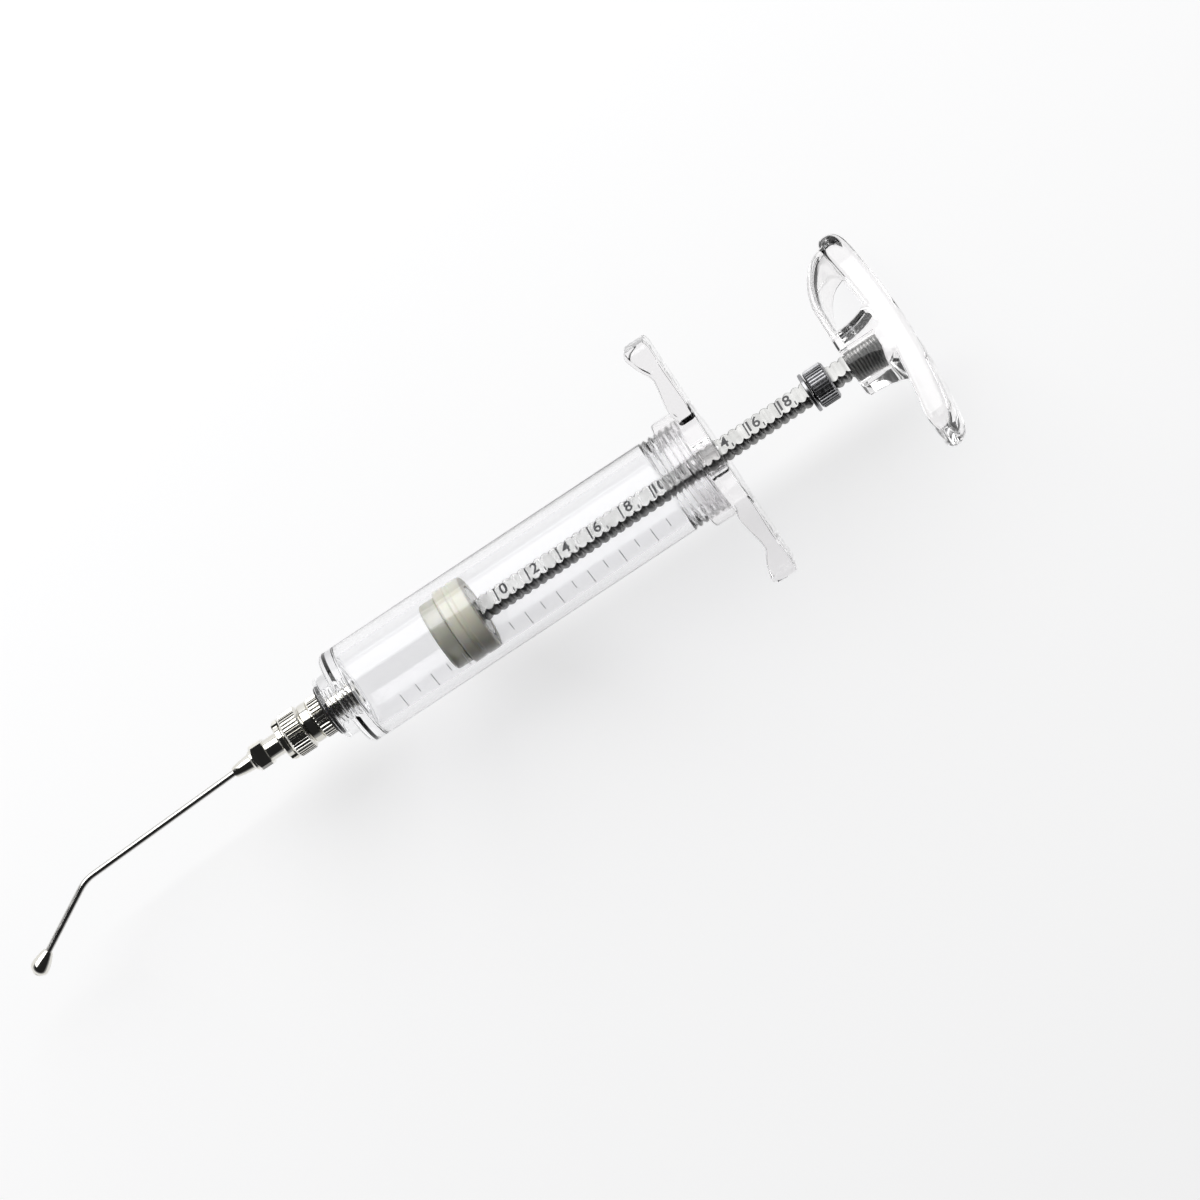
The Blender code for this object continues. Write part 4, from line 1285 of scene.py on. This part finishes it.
def main():
    """Make the materials, then every piece with its body and CAD nodes."""
    barrel_clear = clear_plastic("barrel_clear", (0.95, 0.95, 0.957, 1.0))
    grip_clear = clear_plastic("grip_clear", (0.95, 0.94, 0.945, 1.0))
    handle_clear = clear_plastic("handle_clear", (0.95, 0.94, 0.94, 1.0))
    chrome = metal("chrome_turned", CHROME, CHROME_STAIN, 0.10, (1.0, 0.05, 0.05))
    steel = metal("stainless_drawn", STEEL, STEEL_STAIN, 0.20, (0.03, 1.0, 1.0))
    rod_steel = metal("rod_milled", ROD_STEEL, ROD_STEEL_STAIN, 0.30, (1.0, 0.08, 0.08))
    nut_steel = metal("nut_blackened", NUT_STEEL, NUT_STEEL_STAIN, 0.24, (1.0, 0.05, 0.05))
    rubber = soft_plastic("gasket_black", (0.012, 0.012, 0.012, 1.0), (0.03, 0.03, 0.03, 1.0), 0.5)
    silicone = soft_plastic("silicone_cream", SILICONE, SILICONE_SHADE, 0.35, scatter=0.5)
    plate = soft_plastic("plate_cream", PLATE, PLATE_SHADE, 0.22, translucency=0.35, scatter=0.4)
    frost = soft_plastic("tick_frost", (0.86, 0.86, 0.87, 1.0), (0.80, 0.80, 0.81, 1.0), 0.4, 0.5)
    ink = soft_plastic("mark_ink", (0.07, 0.07, 0.075, 1.0), (0.11, 0.11, 0.115, 1.0), 0.6)

    place(make_barrel(barrel_clear), "barrel", "clear_plastic", "barrel")
    place(make_ticks(frost), "barrel", "clear_plastic")
    place(make_grip(grip_clear), "barrel", "clear_plastic", "finger_grip")
    place(make_gasket(rubber), "barrel", "gasket_rubber", "nozzle_gasket")
    place(make_nozzle(chrome), "barrel", "chrome", "nozzle")
    place(make_lock_collar(chrome), "barrel", "chrome", "luer_lock_collar")
    place(make_hub(chrome), "needle", "chrome", "needle_hub")
    place(make_tube(steel), "needle", "stainless", "cannula")
    place(make_ball(chrome), "needle", "chrome", "ball_tip")
    place(make_seal(silicone), "piston_ring", "silicone", "piston_seal")
    place(make_front_plate(plate), "plunger", "piston_plastic", "piston_front_plate")
    place(make_rear_plate(plate), "plunger", "piston_plastic", "piston_rear_plate")
    place(make_rod(rod_steel), "plunger", "rod_steel", "plunger_rod")
    place(make_marks(ink), "plunger", "rod_steel")
    place(make_handle(handle_clear), "plunger", "clear_plastic", "palm_handle")
    place(make_washer(nut_steel), "nut_washer", "nut_steel", "stop_washer")
    place(make_nut(nut_steel), "nut", "nut_steel", "dose_nut")
    make_camera()
    make_studio()


main()
